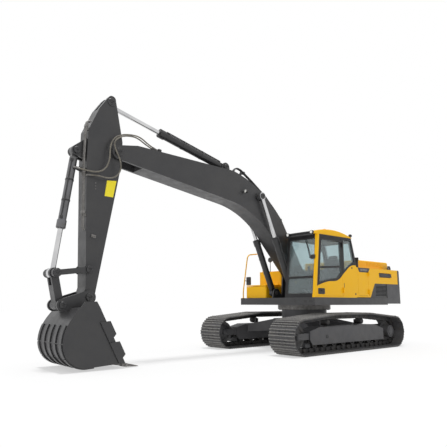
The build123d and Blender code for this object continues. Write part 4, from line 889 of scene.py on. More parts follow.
@dataclass(frozen=True)
class Studio:
    """A white studio: pale floor, white surround, a lamp from the front and one overhead."""

    floor_half: float = 60.0
    floor_white: float = 0.86
    glow: float = 0.9
    glow_share: float = 0.5
    sky: float = 0.55
    lamps: tuple[Lamp, ...] = LAMPS

    def add(self) -> None:
        """Build the floor, the surround and the lamps."""
        self._world()
        self._floor()
        for lamp in self.lamps:
            lamp.add()

    def _world(self) -> None:
        """White surround that lights the machine at a lower level than it is seen at."""
        world = bpy.data.worlds.new("studio")
        world.use_nodes = True
        bpy.context.scene.world = world
        nodes = Nodes(world.node_tree)
        level = nodes.node("ShaderNodeMapRange", {0: nodes.seen(), 3: self.sky}).outputs[0]
        background = nodes.node("ShaderNodeBackground", {"Color": (1.0,) * 4, "Strength": level})
        nodes.node("ShaderNodeOutputWorld", {"Surface": background.outputs[0]})

    def _floor(self) -> None:
        """Pale floor that shows white to the camera and keeps the machine's shadow."""
        half = self.floor_half
        corners = [(-half, -half, 0.0), (half, -half, 0.0), (half, half, 0.0), (-half, half, 0.0)]
        mesh = bpy.data.meshes.new("floor")
        mesh.from_pydata(corners, [], [(0, 1, 2, 3)])
        floor = bpy.data.objects.new("floor", mesh)
        bpy.context.scene.collection.objects.link(floor)
        material = bpy.data.materials.new("floor")
        material.use_nodes = True
        nodes = Nodes(material.node_tree)
        diffuse = nodes.node("ShaderNodeBsdfDiffuse", {"Color": (self.floor_white,) * 3 + (1.0,)})
        glow = nodes.node("ShaderNodeEmission", {"Strength": self.glow})
        share = nodes.math("MULTIPLY", nodes.seen(), self.glow_share)
        layers = {0: share, 1: diffuse.outputs[0], 2: glow.outputs[0]}
        blend = nodes.node("ShaderNodeMixShader", layers)
        nodes.node("ShaderNodeOutputMaterial", {"Surface": blend.outputs[0]})
        mesh.materials.append(material)
        floor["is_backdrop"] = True


class Workshop:
    """Holds the frame and the finishes, and adds finished pieces to the machine."""

    sharp_angle = math.radians(35)
    seam = 1e-6
    sliver = 1e-7

    def __init__(self) -> None:
        """Load the frame and keep the box of its solids."""
        self.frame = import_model()
        self.solid_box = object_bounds()
        self.finishes = FinishBook()

    def paint_nodes(self) -> None:
        """Give each solid that stays the material of its finish."""
        for finish, names in NODE_FINISH.items():
            for name in names:
                for place in self.frame["nodes"][name].material_slots:
                    place.material = self.finishes.get(finish)

    def add(
        self,
        name: str,
        shape: Shape,
        finish: Finish,
        body: str | None,
        replaces: Sequence[str] = (),
        smooth: bool = True,
    ) -> bpy.types.Object:
        """Add one piece.

        Args:
            name: the piece's name.
            shape: its vertices and faces.
            finish: its finish.
            body: the body that it moves with, or none for a piece that is attached to no body, such as a
                hose between two.
            replaces: the nodes that it stands for.
            smooth: whether its faces are shaded smoothly, apart from sharp edges.

        Returns:
            The new object.
        """
        mesh = bpy.data.meshes.new(name)
        mesh.from_pydata(shape.verts.tolist(), [], shape.faces)
        if shape.wear is not None:
            mesh.attributes.new("wear", "FLOAT", "POINT").data.foreach_set("value", shape.wear)
        self._close(mesh)
        mesh.materials.append(self.finishes.get(finish))
        if smooth:
            mesh.shade_smooth()
            mesh.set_sharp_from_angle(angle=self.sharp_angle)
        piece = bpy.data.objects.new(name, mesh)
        bpy.context.scene.collection.objects.link(piece)
        if body:
            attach(piece, body)
        if replaces:
            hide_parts(*replaces)
        LOG.info("%s: %d faces on %s", name, len(mesh.polygons), body)
        return piece

    def _close(self, mesh: bpy.types.Mesh) -> None:
        """Merge the points at seams and poles, and turn all faces outwards."""
        work = bmesh.new()
        work.from_mesh(mesh)
        bmesh.ops.remove_doubles(work, verts=work.verts, dist=self.seam)
        bmesh.ops.dissolve_degenerate(work, edges=work.edges, dist=self.sliver)
        bmesh.ops.recalc_face_normals(work, faces=work.faces)
        work.to_mesh(mesh)
        work.free()

    def save_sizes(self) -> None:
        """Bring the view layer up to date."""
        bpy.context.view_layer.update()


@dataclass(frozen=True)
class Tracks:
    """Belts of shoes: each a plate with three bars, bolted to a pair of links with a pin."""

    half_gauge: float = 1.295
    shoe_half: float = 0.40
    idler_x: float = 2.0
    end_radius: float = 0.43
    top_height: float = 0.965
    carrier_half: float = 0.75
    carrier_radius: float = 0.075
    bar_height: float = 0.030
    bar_foot: float = 0.020
    bar_tip: float = 0.007
    plate: float = 0.014
    link_height: float = 0.106
    link_middle: float = 0.0845
    link_half: float = 0.013
    link_shift: float = 0.0125
    link_shift_run: float = 0.03
    link_overlap: float = 0.06
    pin_radius: float = 0.026
    pin_half: float = 0.118
    bolt_y: float = 0.085
    bolt_radius: float = 0.0125
    bolt_height: float = 0.013
    shoe_count: int = 48
    shoe_gap: float = 0.004
    lip: float = 0.016
    path_steps: int = 2881

    def path(self) -> tuple[Array, Array, float]:
        """Where the shoes lie.

        The closed path is the outline of a hull of four circles: in each outward direction the circle
        that reaches furthest gives the point. The shoes lie at even steps of its length.

        Returns:
            The shoes' places and their directions of travel in the side view, and their pitch.
        """
        top_radius = self.carrier_radius + self.bar_height + self.plate + self.link_height
        circles = ((self.idler_x, self.end_radius), (self.carrier_half, self.top_height - top_radius))
        centres = np.array([(way * x, z) for x, z in circles for way in (1.0, -1.0)])
        radii = np.repeat([self.end_radius, top_radius], 2) - self.bar_height
        angle = np.linspace(0.0, 2.0 * np.pi, self.path_steps)[:, None]
        outward = np.hstack([np.cos(angle), np.sin(angle)])
        furthest = (outward @ centres.T + radii).argmax(axis=1)
        line = centres[furthest] + radii[furthest, None] * outward
        steps = np.linalg.norm(np.diff(line, axis=0), axis=1)
        length = np.concatenate([[0.0], np.cumsum(steps)])
        pitch = length[-1] / self.shoe_count
        at = (np.arange(self.shoe_count) + 0.5) * pitch

        def point(where: Array) -> Array:
            """Points at distances along the path."""
            return np.stack([np.interp(where, length, line[:, i]) for i in (0, 1)], -1)

        return point(at), unit(point(at + 0.1 * pitch) - point(at - 0.1 * pitch)), pitch

    def shoe(self, pitch: float) -> Shape:
        """One shoe: its side view carried across, with the bars' ends cut down at both sides."""
        half = pitch / 2.0
        bar = [(self.bar_foot, 0.0), (self.bar_tip, self.bar_height)]
        bar += [(-x, z) for x, z in bar[::-1]]
        bars = [(middle + x, z) for middle in (pitch / 3.0, 0.0, -pitch / 3.0) for x, z in bar]
        under = [
            (-half - self.lip, -1.4 * self.plate),
            (-half + 1.5 * self.lip, -self.plate),
            (half - self.shoe_gap, -self.plate),
            (half - self.shoe_gap, 0.0),
        ]
        rear = [(-half + 0.5 * self.lip, 0.0), (-half - self.lip, -0.5 * self.plate)]
        along, height = np.array(under + bars + rear).T
        width = np.array([-1.0, -0.97, 0.97, 1.0])[:, None] * self.shoe_half
        cut = np.array([0.45, 1.0, 1.0, 0.45])[:, None]
        height = np.where(height > 0.0, cut * height, height)
        points = np.stack(np.broadcast_arrays(along, width, height), -1)
        shape = Shape.grid(points)
        shape.wear = np.clip(points[..., 2].ravel() / self.bar_height, 0.0, 1.0)
        return shape

    def chain(self, pitch: float) -> Shape:
        """Links and pin under one shoe: each link's front end is set out, and its rear end in."""
        oval = rounded(pitch + self.link_overlap, self.link_height, 0.45 * self.link_height, 6)
        middle = -self.plate - self.link_height / 2.0
        links = []
        for side in BOTH_SIDES:
            place = (0.0, side * self.link_middle + self.link_half, middle)
            link = prism(oval, place, X_AXIS, Z_AXIS, 2.0 * self.link_half, 0.004)
            link.verts[:, 1] += side * self.link_shift * np.tanh(link.verts[:, 0] / self.link_shift_run)
            links.append(link)
        half = [(self.pin_half - 0.006, self.pin_radius), (self.pin_half, 0.7 * self.pin_radius)]
        pin = lathe(both_ways(half), (pitch / 2.0, 0.0, middle), Y_AXIS, 12)
        return joined(links + [pin])

    def build(self, workshop: Workshop) -> None:
        """Lay the shoes, bolts and chains along both tracks."""
        place, travel, pitch = self.path()
        zero = np.zeros(len(place))
        along = np.stack([travel[:, 0], zero, travel[:, 1]], -1)
        outward = np.stack([travel[:, 1], zero, -travel[:, 0]], -1)
        spots = [(x, y * self.bolt_y, 0.0) for x in (-pitch / 6.0, pitch / 6.0) for y in BOTH_SIDES]
        bolts = bolt_heads(np.array(spots), Z_AXIS, self.bolt_radius, self.bolt_height)
        shoe, chain = self.shoe(pitch), self.chain(pitch)
        for name, side in (("left", 1.0), ("right", -1.0)):
            middle = np.full(len(place), side * self.half_gauge)
            frames = frames_at(np.stack([place[:, 0], middle, place[:, 1]], -1), along, outward)
            body, belt = "undercarriage", [f"track_{name}"]
            workshop.add(f"track_shoes_{name}", shoe.copies(frames), Finish.TRACK, body, belt, smooth=False)
            workshop.add(f"track_chain_{name}", chain.copies(frames), Finish.LINK, body)
            workshop.add(f"shoe_bolts_{name}", bolts.copies(frames), Finish.LINK, body, smooth=False)


@dataclass(frozen=True)
class RunningGear:
    """Rollers, hubs, covers and guides of the tracks."""

    half_gauge: float = 1.295
    roller_z: float = 0.2454
    roller_span: float = 2.75
    roller_count: int = 8
    carrier_half: float = 0.75
    carrier_z: float = 0.7396
    axle_x: float = 2.0
    axle_z: float = 0.43
    drive_face: float = 1.4904
    yoke_face: float = 1.459
    frame_face: float = 1.485

    def build(self, workshop: Workshop) -> None:
        """Make the rollers, covers, caps, ports and guides of both tracks."""
        body = "undercarriage"
        workshop.add("roller_set", self.rollers(), Finish.LINK, body, ["bottom_rollers"])
        workshop.add("carrier_set", self.carriers(), Finish.LINK, body, ["carrier_rollers"])
        workshop.add("drive_covers", self.drive_covers(), Finish.DARK, body)
        workshop.add("idler_caps", self.idler_caps(), Finish.DARK, body)
        workshop.add("frame_ports", self.frame_ports(), Finish.BLACK, body)
        workshop.add("chain_guides", self.chain_guides(), Finish.DARK, body)

    def chain_guides(self) -> Shape:
        """Blocks under the frames that keep the chains in line before the idlers."""
        block = rounded(0.19, 0.10, 0.02, 4)
        return prism(block, (1.59, 1.195, 0.212), *FACING_LEFT, 0.20, 0.006).mirrored()

    def rollers(self) -> Shape:
        """Bottom rollers: two treads with flanges beside the chain's rails, turned round each shaft."""
        tread = [(0.0, 0.078), (0.03, 0.080), (0.038, 0.100), (0.052, 0.100), (0.058, 0.0948)]
        flange = [(0.112, 0.0948), (0.117, 0.100), (0.134, 0.100), (0.138, 0.062)]
        shaft = [(0.152, 0.060), (0.160, 0.048), (0.1645, 0.040)]
        x = np.linspace(-self.roller_span / 2.0, self.roller_span / 2.0, self.roller_count)
        return self._row(tread + flange + shaft, x, self.roller_z)

    def carriers(self) -> Shape:
        """Carrier rollers: a flange between the rails and a tread under each."""
        flange = [(0.0, 0.084), (0.05, 0.084)]
        tread = [(0.056, 0.0746), (0.088, 0.0746), (0.094, 0.066), (0.099, 0.040)]
        return self._row(flange + tread, np.array(BOTH_SIDES) * self.carrier_half, self.carrier_z)

    def _row(self, half: Sequence[Pair], x: Array, z: float) -> Shape:
        """Rollers turned from half a profile, at each place of a row, on both tracks."""
        roller = lathe(both_ways(half), axis=Y_AXIS, sides=20)
        row = np.stack([x, np.full(len(x), self.half_gauge), np.full(len(x), z)], -1)
        places = np.vstack([row, row * (1.0, -1.0, 1.0)])
        return roller.copies(frames_at(places, X_AXIS, Z_AXIS))

    def drive_covers(self) -> Shape:
        """Stepped covers of the final drives, with a ring of bolts and three plugs."""
        place = np.array([-self.axle_x, self.drive_face, self.axle_z])
        rim = [(0.0, 0.168), (0.014, 0.168), (0.018, 0.160), (0.018, 0.118)]
        dome = [(0.034, 0.110), (0.040, 0.070), (0.042, 0.0)]
        bolts = bolt_heads(circle(place + 0.018 * Y_AXIS, Y_AXIS, 0.139, 14), Y_AXIS, 0.012, 0.012)
        plugs = bolt_heads(circle(place + 0.037 * Y_AXIS, Y_AXIS, 0.085, 3), Y_AXIS, 0.013, 0.012)
        return joined([lathe(rim + dome, place, Y_AXIS, 40), bolts, plugs]).mirrored()

    def idler_caps(self) -> Shape:
        """Caps on the outer and inner ends of the idler axles."""
        cap = [(0.0, 0.062), (0.012, 0.062), (0.020, 0.050), (0.020, 0.0)]
        parts = []
        for face, axis in ((self.yoke_face, Y_AXIS), (2.0 * self.half_gauge - self.yoke_face, -Y_AXIS)):
            place = np.array([self.axle_x, face, self.axle_z])
            parts.append(lathe(cap, place, axis, 28))
            parts.append(bolt_heads(circle(place + 0.012 * axis, axis, 0.042, 4), axis, 0.011, 0.018))
        return joined(parts).mirrored()

    def frame_ports(self) -> Shape:
        """Ringed ports of the track adjusters on the outer faces of the frames."""
        rim = [(0.0, 0.046), (0.008, 0.046), (0.010, 0.040), (0.003, 0.036), (0.002, 0.0)]
        return lathe(rim, (0.94, self.frame_face, 0.402), Y_AXIS, 24).mirrored()


@dataclass(frozen=True)
class BucketTeeth:
    """Cast teeth on their adapters along the bucket's lip.

    A station is a share of the way from root to tip, half the height there and a share of the width.
    """

    root: Pair = (6.105, 0.066)
    tip: Pair = (5.741, 0.0165)
    width: float = 1.2
    tooth_width: float = 0.11
    count: int = 5
    pin_at: float = 0.17
    pin_half: tuple[Pair, ...] = ((0.055, 0.013), (0.0572, 0.010))
    stations: tuple[Triple, ...] = (
        (0.00, 0.030, 1.00), (0.04, 0.034, 1.00), (0.28, 0.036, 1.00), (0.31, 0.033, 0.90),
        (0.34, 0.031, 0.86), (0.60, 0.022, 0.82), (0.86, 0.011, 0.70), (0.97, 0.0055, 0.62),
        (1.00, 0.0030, 0.58),
    )

    def build(self, workshop: Workshop) -> None:
        """Carry a rounded section from each adapter to its tip, thinner and narrower as it goes."""
        start, end = np.array(self.root), np.array(self.tip)
        travel = unit(end - start)
        rise = np.array([-travel[1], travel[0]]) * np.sign(travel[0])
        section = rounded(2.0, 2.0, 0.45, 4)
        share, height, width = np.array(self.stations).T
        middle = start + share[:, None] * (end - start)
        side = section[None, :, 0] * (width * self.tooth_width / 2.0)[:, None]
        lift = section[None, :, 1] * height[:, None]
        flat = middle[:, None] + lift[..., None] * -rise
        tooth = Shape.grid(np.stack([flat[..., 0], side, flat[..., 1]], -1))
        spot = start + self.pin_at * (end - start)
        pin = lathe(both_ways(self.pin_half), (spot[0], 0.0, spot[1]), Y_AXIS, 12)
        y = np.linspace(-1.0, 1.0, self.count) * (self.width - self.tooth_width) / 2.0
        frames = frames_at(y[:, None] * Y_AXIS, X_AXIS, Z_AXIS)
        workshop.add("tooth_points", tooth.copies(frames), Finish.STEEL, "bucket", ["bucket_teeth"])
        workshop.add("tooth_pins", pin.copies(frames), Finish.LINK, "bucket")


@dataclass(frozen=True)
class Pivot:
    """A pin of the working gear: where it ends on the left, how wide its cap is and what carries it."""

    name: str
    place: Pair
    face: float
    radius: float
    body: str


PIVOTS = (
    Pivot("boom_foot", (0.410, 1.990), 0.307, 0.088, "upper"),
    Pivot("boom_cylinder_base", (0.900, 1.500), 0.412, 0.070, "upper"),
    Pivot("boom_cylinder_eye", (2.0262, 3.9845), 0.400, 0.078, "boom_rods"),
    Pivot("arm_cylinder_base", (3.0564, 4.6361), 0.125, 0.070, "boom"),
    Pivot("boom_tip", (6.1504, 4.3326), 0.270, 0.090, "boom"),
    Pivot("arm_cylinder_eye", (6.3344, 5.4033), 0.185, 0.090, "arm"),
    Pivot("bucket_cylinder_base", (7.0047, 4.2286), 0.120, 0.070, "arm"),
    Pivot("rocker_pivot", (6.6839, 1.8620), 0.253, 0.068, "arm"),
    Pivot("rocker_end", (7.3140, 1.7760), 0.241, 0.074, "rocker"),
    Pivot("link_pivot", (7.1730, 1.1823), 0.253, 0.066, "bucket"),
    Pivot("bucket_pivot", (6.6590, 1.3253), 0.253, 0.072, "bucket"),
)


@dataclass(frozen=True)
class PinCaps:
    """Retainers on the ends of the pins: a dished disc, its bolts and a grease nipple."""

    pivots: tuple[Pivot, ...] = PIVOTS
    depth: float = 0.018
    dish: float = 0.0099
    nipple: tuple[Pair, ...] = ((0.0, 0.009), (0.012, 0.009), (0.016, 0.006), (0.024, 0.006), (0.026, 0.0))

    def cap(self, pivot: Pivot) -> Shape:
        """Disc turned from a stepped profile, with three bolts on a circle."""
        place = np.array([pivot.place[0], pivot.face, pivot.place[1]])
        radius, depth = pivot.radius, self.depth
        rim = [(0.0, radius), (0.6 * depth, radius), (depth, 0.9 * radius), (depth, 0.42 * radius)]
        disc = lathe(rim + [(self.dish, 0.36 * radius), (self.dish, 0.0)], place, Y_AXIS, 32)
        heads = circle(place + depth * Y_AXIS, Y_AXIS, 0.66 * radius, 3)
        nipple = lathe(self.nipple, place + self.dish * Y_AXIS, Y_AXIS, 8)
        return disc + bolt_heads(heads, Y_AXIS, 0.011, 0.010) + nipple

    def build(self, workshop: Workshop) -> None:
        """Cap both ends of each pin."""
        for pivot in self.pivots:
            workshop.add(f"{pivot.name}_caps", self.cap(pivot).mirrored(), Finish.GREY, pivot.body)


@dataclass(frozen=True)
class Cylinder:
    """A hydraulic cylinder: its pins in the side view, its places across and its barrel.

    Its line runs along the barrel, turned by an angle from the barrel's upper side to its left.
    """

    name: str
    base: Pair
    eye: Pair
    across: tuple[float, ...]
    radius: float
    length: float
    finish: Finish
    line_turn: float
    rod_radius: float = 0.050
    line_radius: float = 0.013
    line_start: float = 0.215
    line_end: float = 0.20
    straps: Pair = (0.34, 0.70)

    def build(self, workshop: Workshop) -> None:
        """Add the gland, the supply line and its clips to each barrel."""
        start, end = np.array(self.base), np.array(self.eye)
        travel = unit(end - start)
        axis = np.array([travel[0], 0.0, travel[1]])
        up = np.array([-travel[1], 0.0, travel[0]]) * np.sign(travel[0] or 1.0)
        glands, lines = [], []
        for y in self.across:
            left = Y_AXIS * (np.sign(y) or 1.0)
            out = unit(up * math.cos(self.line_turn) + left * math.sin(self.line_turn))
            place = np.array([start[0], y, start[1]])
            glands.append(self.gland(place, axis))
            lines.append(self.line(place, axis, out))
        workshop.add(f"{self.name}_gland", joined(glands), self.finish, self.name)
        workshop.add(f"{self.name}_line", joined(lines), Finish.BLACK, self.name)

    def gland(self, place: Array, axis: Array) -> Shape:
        """Collar with a ring of bolts on the barrel's end, and a wiper lip round the rod."""
        end = place + self.length * axis
        rod, skin, outer = self.rod_radius, self.radius + 0.001, self.radius + 0.009
        lip = [(0.0, rod + 0.002), (0.0, 0.8 * outer), (0.010, 0.8 * outer)]
        lip += [(0.014, rod + 0.012), (0.024, rod + 0.009), (0.026, rod + 0.001)]
        band = [(-0.150, skin), (-0.150, outer + 0.003), (-0.132, outer + 0.003), (-0.130, skin)]
        heads = bolt_heads(circle(end, axis, 0.9 * outer, 10), axis, 0.009, 0.012)
        return lathe(lip, end, axis, 32, ring=True) + lathe(band, end, axis, 40, ring=True) + heads

    def line(self, place: Array, axis: Array, out: Array) -> Shape:
        """Steel line from a port at the base to a port at the gland, held by two straps."""
        first, last = self.line_start, self.length - self.line_end
        reach = np.array([0.0, 0.02, 0.04, 0.06])
        along = np.concatenate([first + reach, last - reach[::-1]])
        rise = self.radius + np.array([0.010, 0.010, 0.014, 0.014, 0.014, 0.014, 0.010, 0.010])
        path = place + along[:, None] * axis + rise[:, None] * out
        side = np.cross(out, axis)
        parts = [tube(path, self.line_radius, -side, 10)]
        port = rounded(0.062, 0.058, 0.010, 3)
        for at in (first, last):
            foot = place + at * axis + (self.radius - 0.008) * out
            parts.append(prism(port, foot, axis, side, 0.034, 0.004))
        inner, outer = self.radius - 0.004, self.radius + 0.006
        strap = [(-0.016, inner), (-0.016, outer), (0.016, outer), (0.016, inner)]
        clip = rounded(0.034, 0.046, 0.008, 3)
        for share in self.straps:
            spot = place + (first + share * (last - first)) * axis
            parts.append(lathe(strap, spot, axis, 40, ring=True))
            parts.append(prism(clip, spot + (self.radius - 0.002) * out, axis, side, 0.032, 0.004))
        return joined(parts)


CYLINDERS = (
    Cylinder(
        "boom_barrels", (0.900, 1.500), (2.0262, 3.9845), (0.35, -0.35), 0.085, 1.56, Finish.BLACK, 0.5
    ),
    Cylinder("arm_barrel", (3.0564, 4.6361), (6.3344, 5.4033), (0.0,), 0.092, 2.015, Finish.BLACK, 0.6),
    # The bucket barrel's lighter grey is a painted highlight over its black paint.
    Cylinder("bucket_barrel", (7.0047, 4.2286), (7.3140, 1.7760), (0.0,), 0.078, 1.59, Finish.BARREL, 0.9),
)


@dataclass(frozen=True)
class Hose:
    """A free hose between the boom and the arm: the points of its route and its diameter."""

    name: str
    route: tuple[Triple, ...]
    diameter: float = 0.030

    def line(self) -> Array:
        """Points along the hose, read from a smooth curve that the route controls."""
        curve = bpy.data.curves.new(self.name, "CURVE")
        curve.dimensions = "3D"
        curve.resolution_u = 24
        spline = curve.splines.new("NURBS")
        spline.points.add(len(self.route) - 1)
        for point, place in zip(spline.points, self.route):
            point.co = (*place, 1.0)
        spline.order_u = 3
        spline.use_endpoint_u = True
        holder = bpy.data.objects.new(self.name, curve)
        mesh = bpy.data.meshes.new_from_object(holder)
        flat = np.empty(len(mesh.vertices) * 3)
        mesh.vertices.foreach_get("co", flat)
        bpy.data.objects.remove(holder)
        bpy.data.curves.remove(curve)
        bpy.data.meshes.remove(mesh)
        return flat.reshape(-1, 3)


LONG_ROUTE = (
    (5.20, 0.205, 4.589), (5.40, 0.205, 4.655), (5.66, 0.235, 4.790), (5.95, 0.275, 4.760),
    (6.17, 0.300, 4.690), (6.33, 0.305, 4.560), (6.39, 0.305, 4.370), (6.38, 0.305, 4.120),
    (6.46, 0.300, 3.900), (6.62, 0.285, 3.800), (6.82, 0.240, 3.810), (6.97, 0.155, 3.850),
    (7.035, 0.105, 3.870),
)
SHORT_ROUTE = (
    (5.20, 0.135, 4.589), (5.42, 0.140, 4.660), (5.70, 0.200, 4.765), (5.98, 0.290, 4.720),
    (6.20, 0.345, 4.630), (6.33, 0.350, 4.490), (6.28, 0.350, 4.320), (6.17, 0.350, 4.140),
    (6.14, 0.350, 3.940), (6.23, 0.345, 3.770), (6.40, 0.330, 3.700), (6.62, 0.290, 3.735),
    (6.78, 0.215, 3.735), (6.835, 0.172, 3.728),
)


@dataclass(frozen=True)
class HoseLoops:
    """The two hoses that hang in a loop beside the joint of boom and arm, with their fittings."""

    hoses: tuple[Hose, ...] = (Hose("long_hose", LONG_ROUTE), Hose("short_hose", SHORT_ROUTE))
    bend_start: Triple = (5.95, 0.27, 4.5)
    bend_end: Triple = (6.50, 0.27, 3.9)
    block_turn: float = math.radians(8.0)
    block_middle: Triple = (5.185, 0.170, 4.590)

    def build(self, workshop: Workshop) -> None:
        """Carry a round section along each hose, and crimp a ferrule on each end."""
        for hose in self.hoses:
            path = hose.line()
            piece = workshop.add(hose.name, tube(path, hose.diameter / 2.0), Finish.HOSE, None)
            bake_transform(piece)
            for end, body in ((path, "boom"), (path[::-1], "arm")):
                ferrule = self.ferrule(end, hose.diameter)
                workshop.add(f"{hose.name}_{body}_ferrule", ferrule, Finish.STEEL, body)
        workshop.add("hose_block", self.block(), Finish.LINK, "boom")
        workshop.add("hose_bracket", self.bracket(), Finish.BLACK, "arm")

    def block(self) -> Shape:
        """Block on the boom's back that both hoses leave."""
        along, up = tilted(self.block_turn)
        place = np.array(self.block_middle) - 0.09 * along
        return prism(rounded(0.15, 0.075, 0.012, 4), place, Y_AXIS, up, 0.08, 0.006)

    def bracket(self) -> Shape:
        """Plate on the arm's front, beside the bucket cylinder, that carries the long hose's end."""
        outline = [(-7.055, 3.845), (-6.80, 3.76), (-6.78, 3.90), (-7.045, 3.895)]
        return prism(outline, (0.0, 0.086, 0.0), *FACING_LEFT, 0.016, 0.003)

    def ferrule(self, end: Array, diameter: float) -> Shape:
        """Nut and crimped sleeve on a hose's end, turned round its first run.

        Args:
            end: the hose's points, from this end on.
            diameter: the hose's diameter, in which the profiles' radii are given.

        Returns:
            The surface of both.
        """
        axis = unit(end[4] - end[0])
        nut = lathe([(-0.020, 0.62), (-0.018, 0.86), (0.010, 0.86), (0.012, 0.70)], sides=6)
        crimp = [(0.012, 0.56), (0.014, 0.68), (0.05, 0.68), (0.056, 0.62)]
        shape = nut + lathe(crimp + [(0.07, 0.68), (0.105, 0.66), (0.108, 0.52)])
        shape.verts = shape.verts * (diameter, diameter, 1.0)
        return shape.copies(frames_at(end[0], unit(np.cross(axis, Y_AXIS)), axis))


@dataclass(frozen=True)
class OperatorSeat:
    """Operator's seat: sprung base with a bellows, and cushions with bolsters and sewn channels."""

    x: float = 0.180
    y: float = 0.9475
    floor: float = 1.422
    base_height: float = 0.318
    cushion_half: Triple = (0.262, 0.242, 0.078)
    back_half: Triple = (0.072, 0.232, 0.290)
    head_half: Triple = (0.050, 0.135, 0.085)
    back_lean: float = math.radians(14.5)
    seam_at: float = 0.60
    seam_width: float = 0.010
    channel_rate: float = 34.0

    def build(self, workshop: Workshop) -> None:
        """Make the base, the three padded pieces and the arm rests."""
        workshop.add("seat_base", self.base(), Finish.PLASTIC, "upper", ["seat"])
        cushion = self._sewn(self.cushion_half, 2, 0.020).moved((self.x + 0.02, self.y, self.floor + 0.395))
        back = self._leaning(self._sewn(self.back_half, 0, 0.022), 0.30)
        head = self._leaning(self.head(), 0.60)
        for name, shape in (("seat_cushion", cushion), ("seat_back", back), ("seat_head", head)):
            piece = workshop.add(name, shape, Finish.FABRIC, "upper")
        rest = pillow((0.15, 0.035, 0.028), 0.4, 17, 32)
        places = [(self.x - 0.06, self.y + side * 0.262, self.floor + 0.66) for side in BOTH_SIDES]
        workshop.add("arm_rests", rest.copies(frames_at(places, X_AXIS, Z_AXIS)), Finish.PLASTIC, "upper")

    def base(self) -> Shape:
        """Square bellows on a foot: its half width waves with height."""
        share = np.linspace(0.0, 1.0, 29)
        half = 0.168 + 0.012 * np.cos(share * 14.0 * np.pi)
        half[:3] = 0.20
        half[-2:] = 0.195
        flat = half[:, None, None] * rounded(2.0, 2.0, 0.3)[None] * (1.0, 0.93)
        height = np.broadcast_to((share * self.base_height)[:, None, None], flat[..., :1].shape)
        return Shape.grid(np.concatenate([flat, height], -1) + (self.x, self.y, self.floor))

    def _sewn(self, half: Triple, face: int, bolster: float) -> Shape:
        """Padded block with one sewn face.

        The face is lower in narrow furrows beside each bolster and in channels across the middle, and
        rises to the bolsters with the third power of the distance from the middle.

        Args:
            half: half sizes along the axes.
            face: the axis that the face looks along, 0 for X or 2 for Z.
            bolster: height of the bolsters.

        Returns:
            The block about the origin.
        """
        shape = pillow(half, 0.36, 61, 160)
        share = np.clip(shape.verts[:, face] / half[face], 0.0, 1.0)
        across, along = np.abs(shape.verts[:, 1]) / half[1], shape.verts[:, 2 - face]
        beside = np.exp(-(((across - self.seam_at) * half[1] / self.seam_width) ** 2))
        channel = np.exp(-((np.sin(along * self.channel_rate) / 0.22) ** 2)) * (across < self.seam_at)
        shape.verts[:, face] += share * (bolster * across**3 - 0.011 * beside - 0.007 * channel)
        return shape

    def _leaning(self, shape: Shape, above: float) -> Shape:
        """Turn a shape back with the seat's back and lift it along the lean."""
        c, s = math.cos(self.back_lean), math.sin(self.back_lean)
        x, y, z = (shape.verts + (0.0, 0.0, above)).T
        foot = np.array([self.x - 0.185, self.y, self.floor + 0.42])
        return Shape(np.stack([x * c - z * s, y, x * s + z * c], -1) + foot, shape.faces)

    def head(self) -> Shape:
        """Head cushion, a little hollow in front."""
        shape = pillow(self.head_half, 0.42, 41, 96)
        x, y, _ = shape.verts.T
        shape.verts[:, 0] -= 0.012 * np.clip(x / self.head_half[0], 0.0, 1.0) * np.exp(-((y / 0.07) ** 2))
        return shape


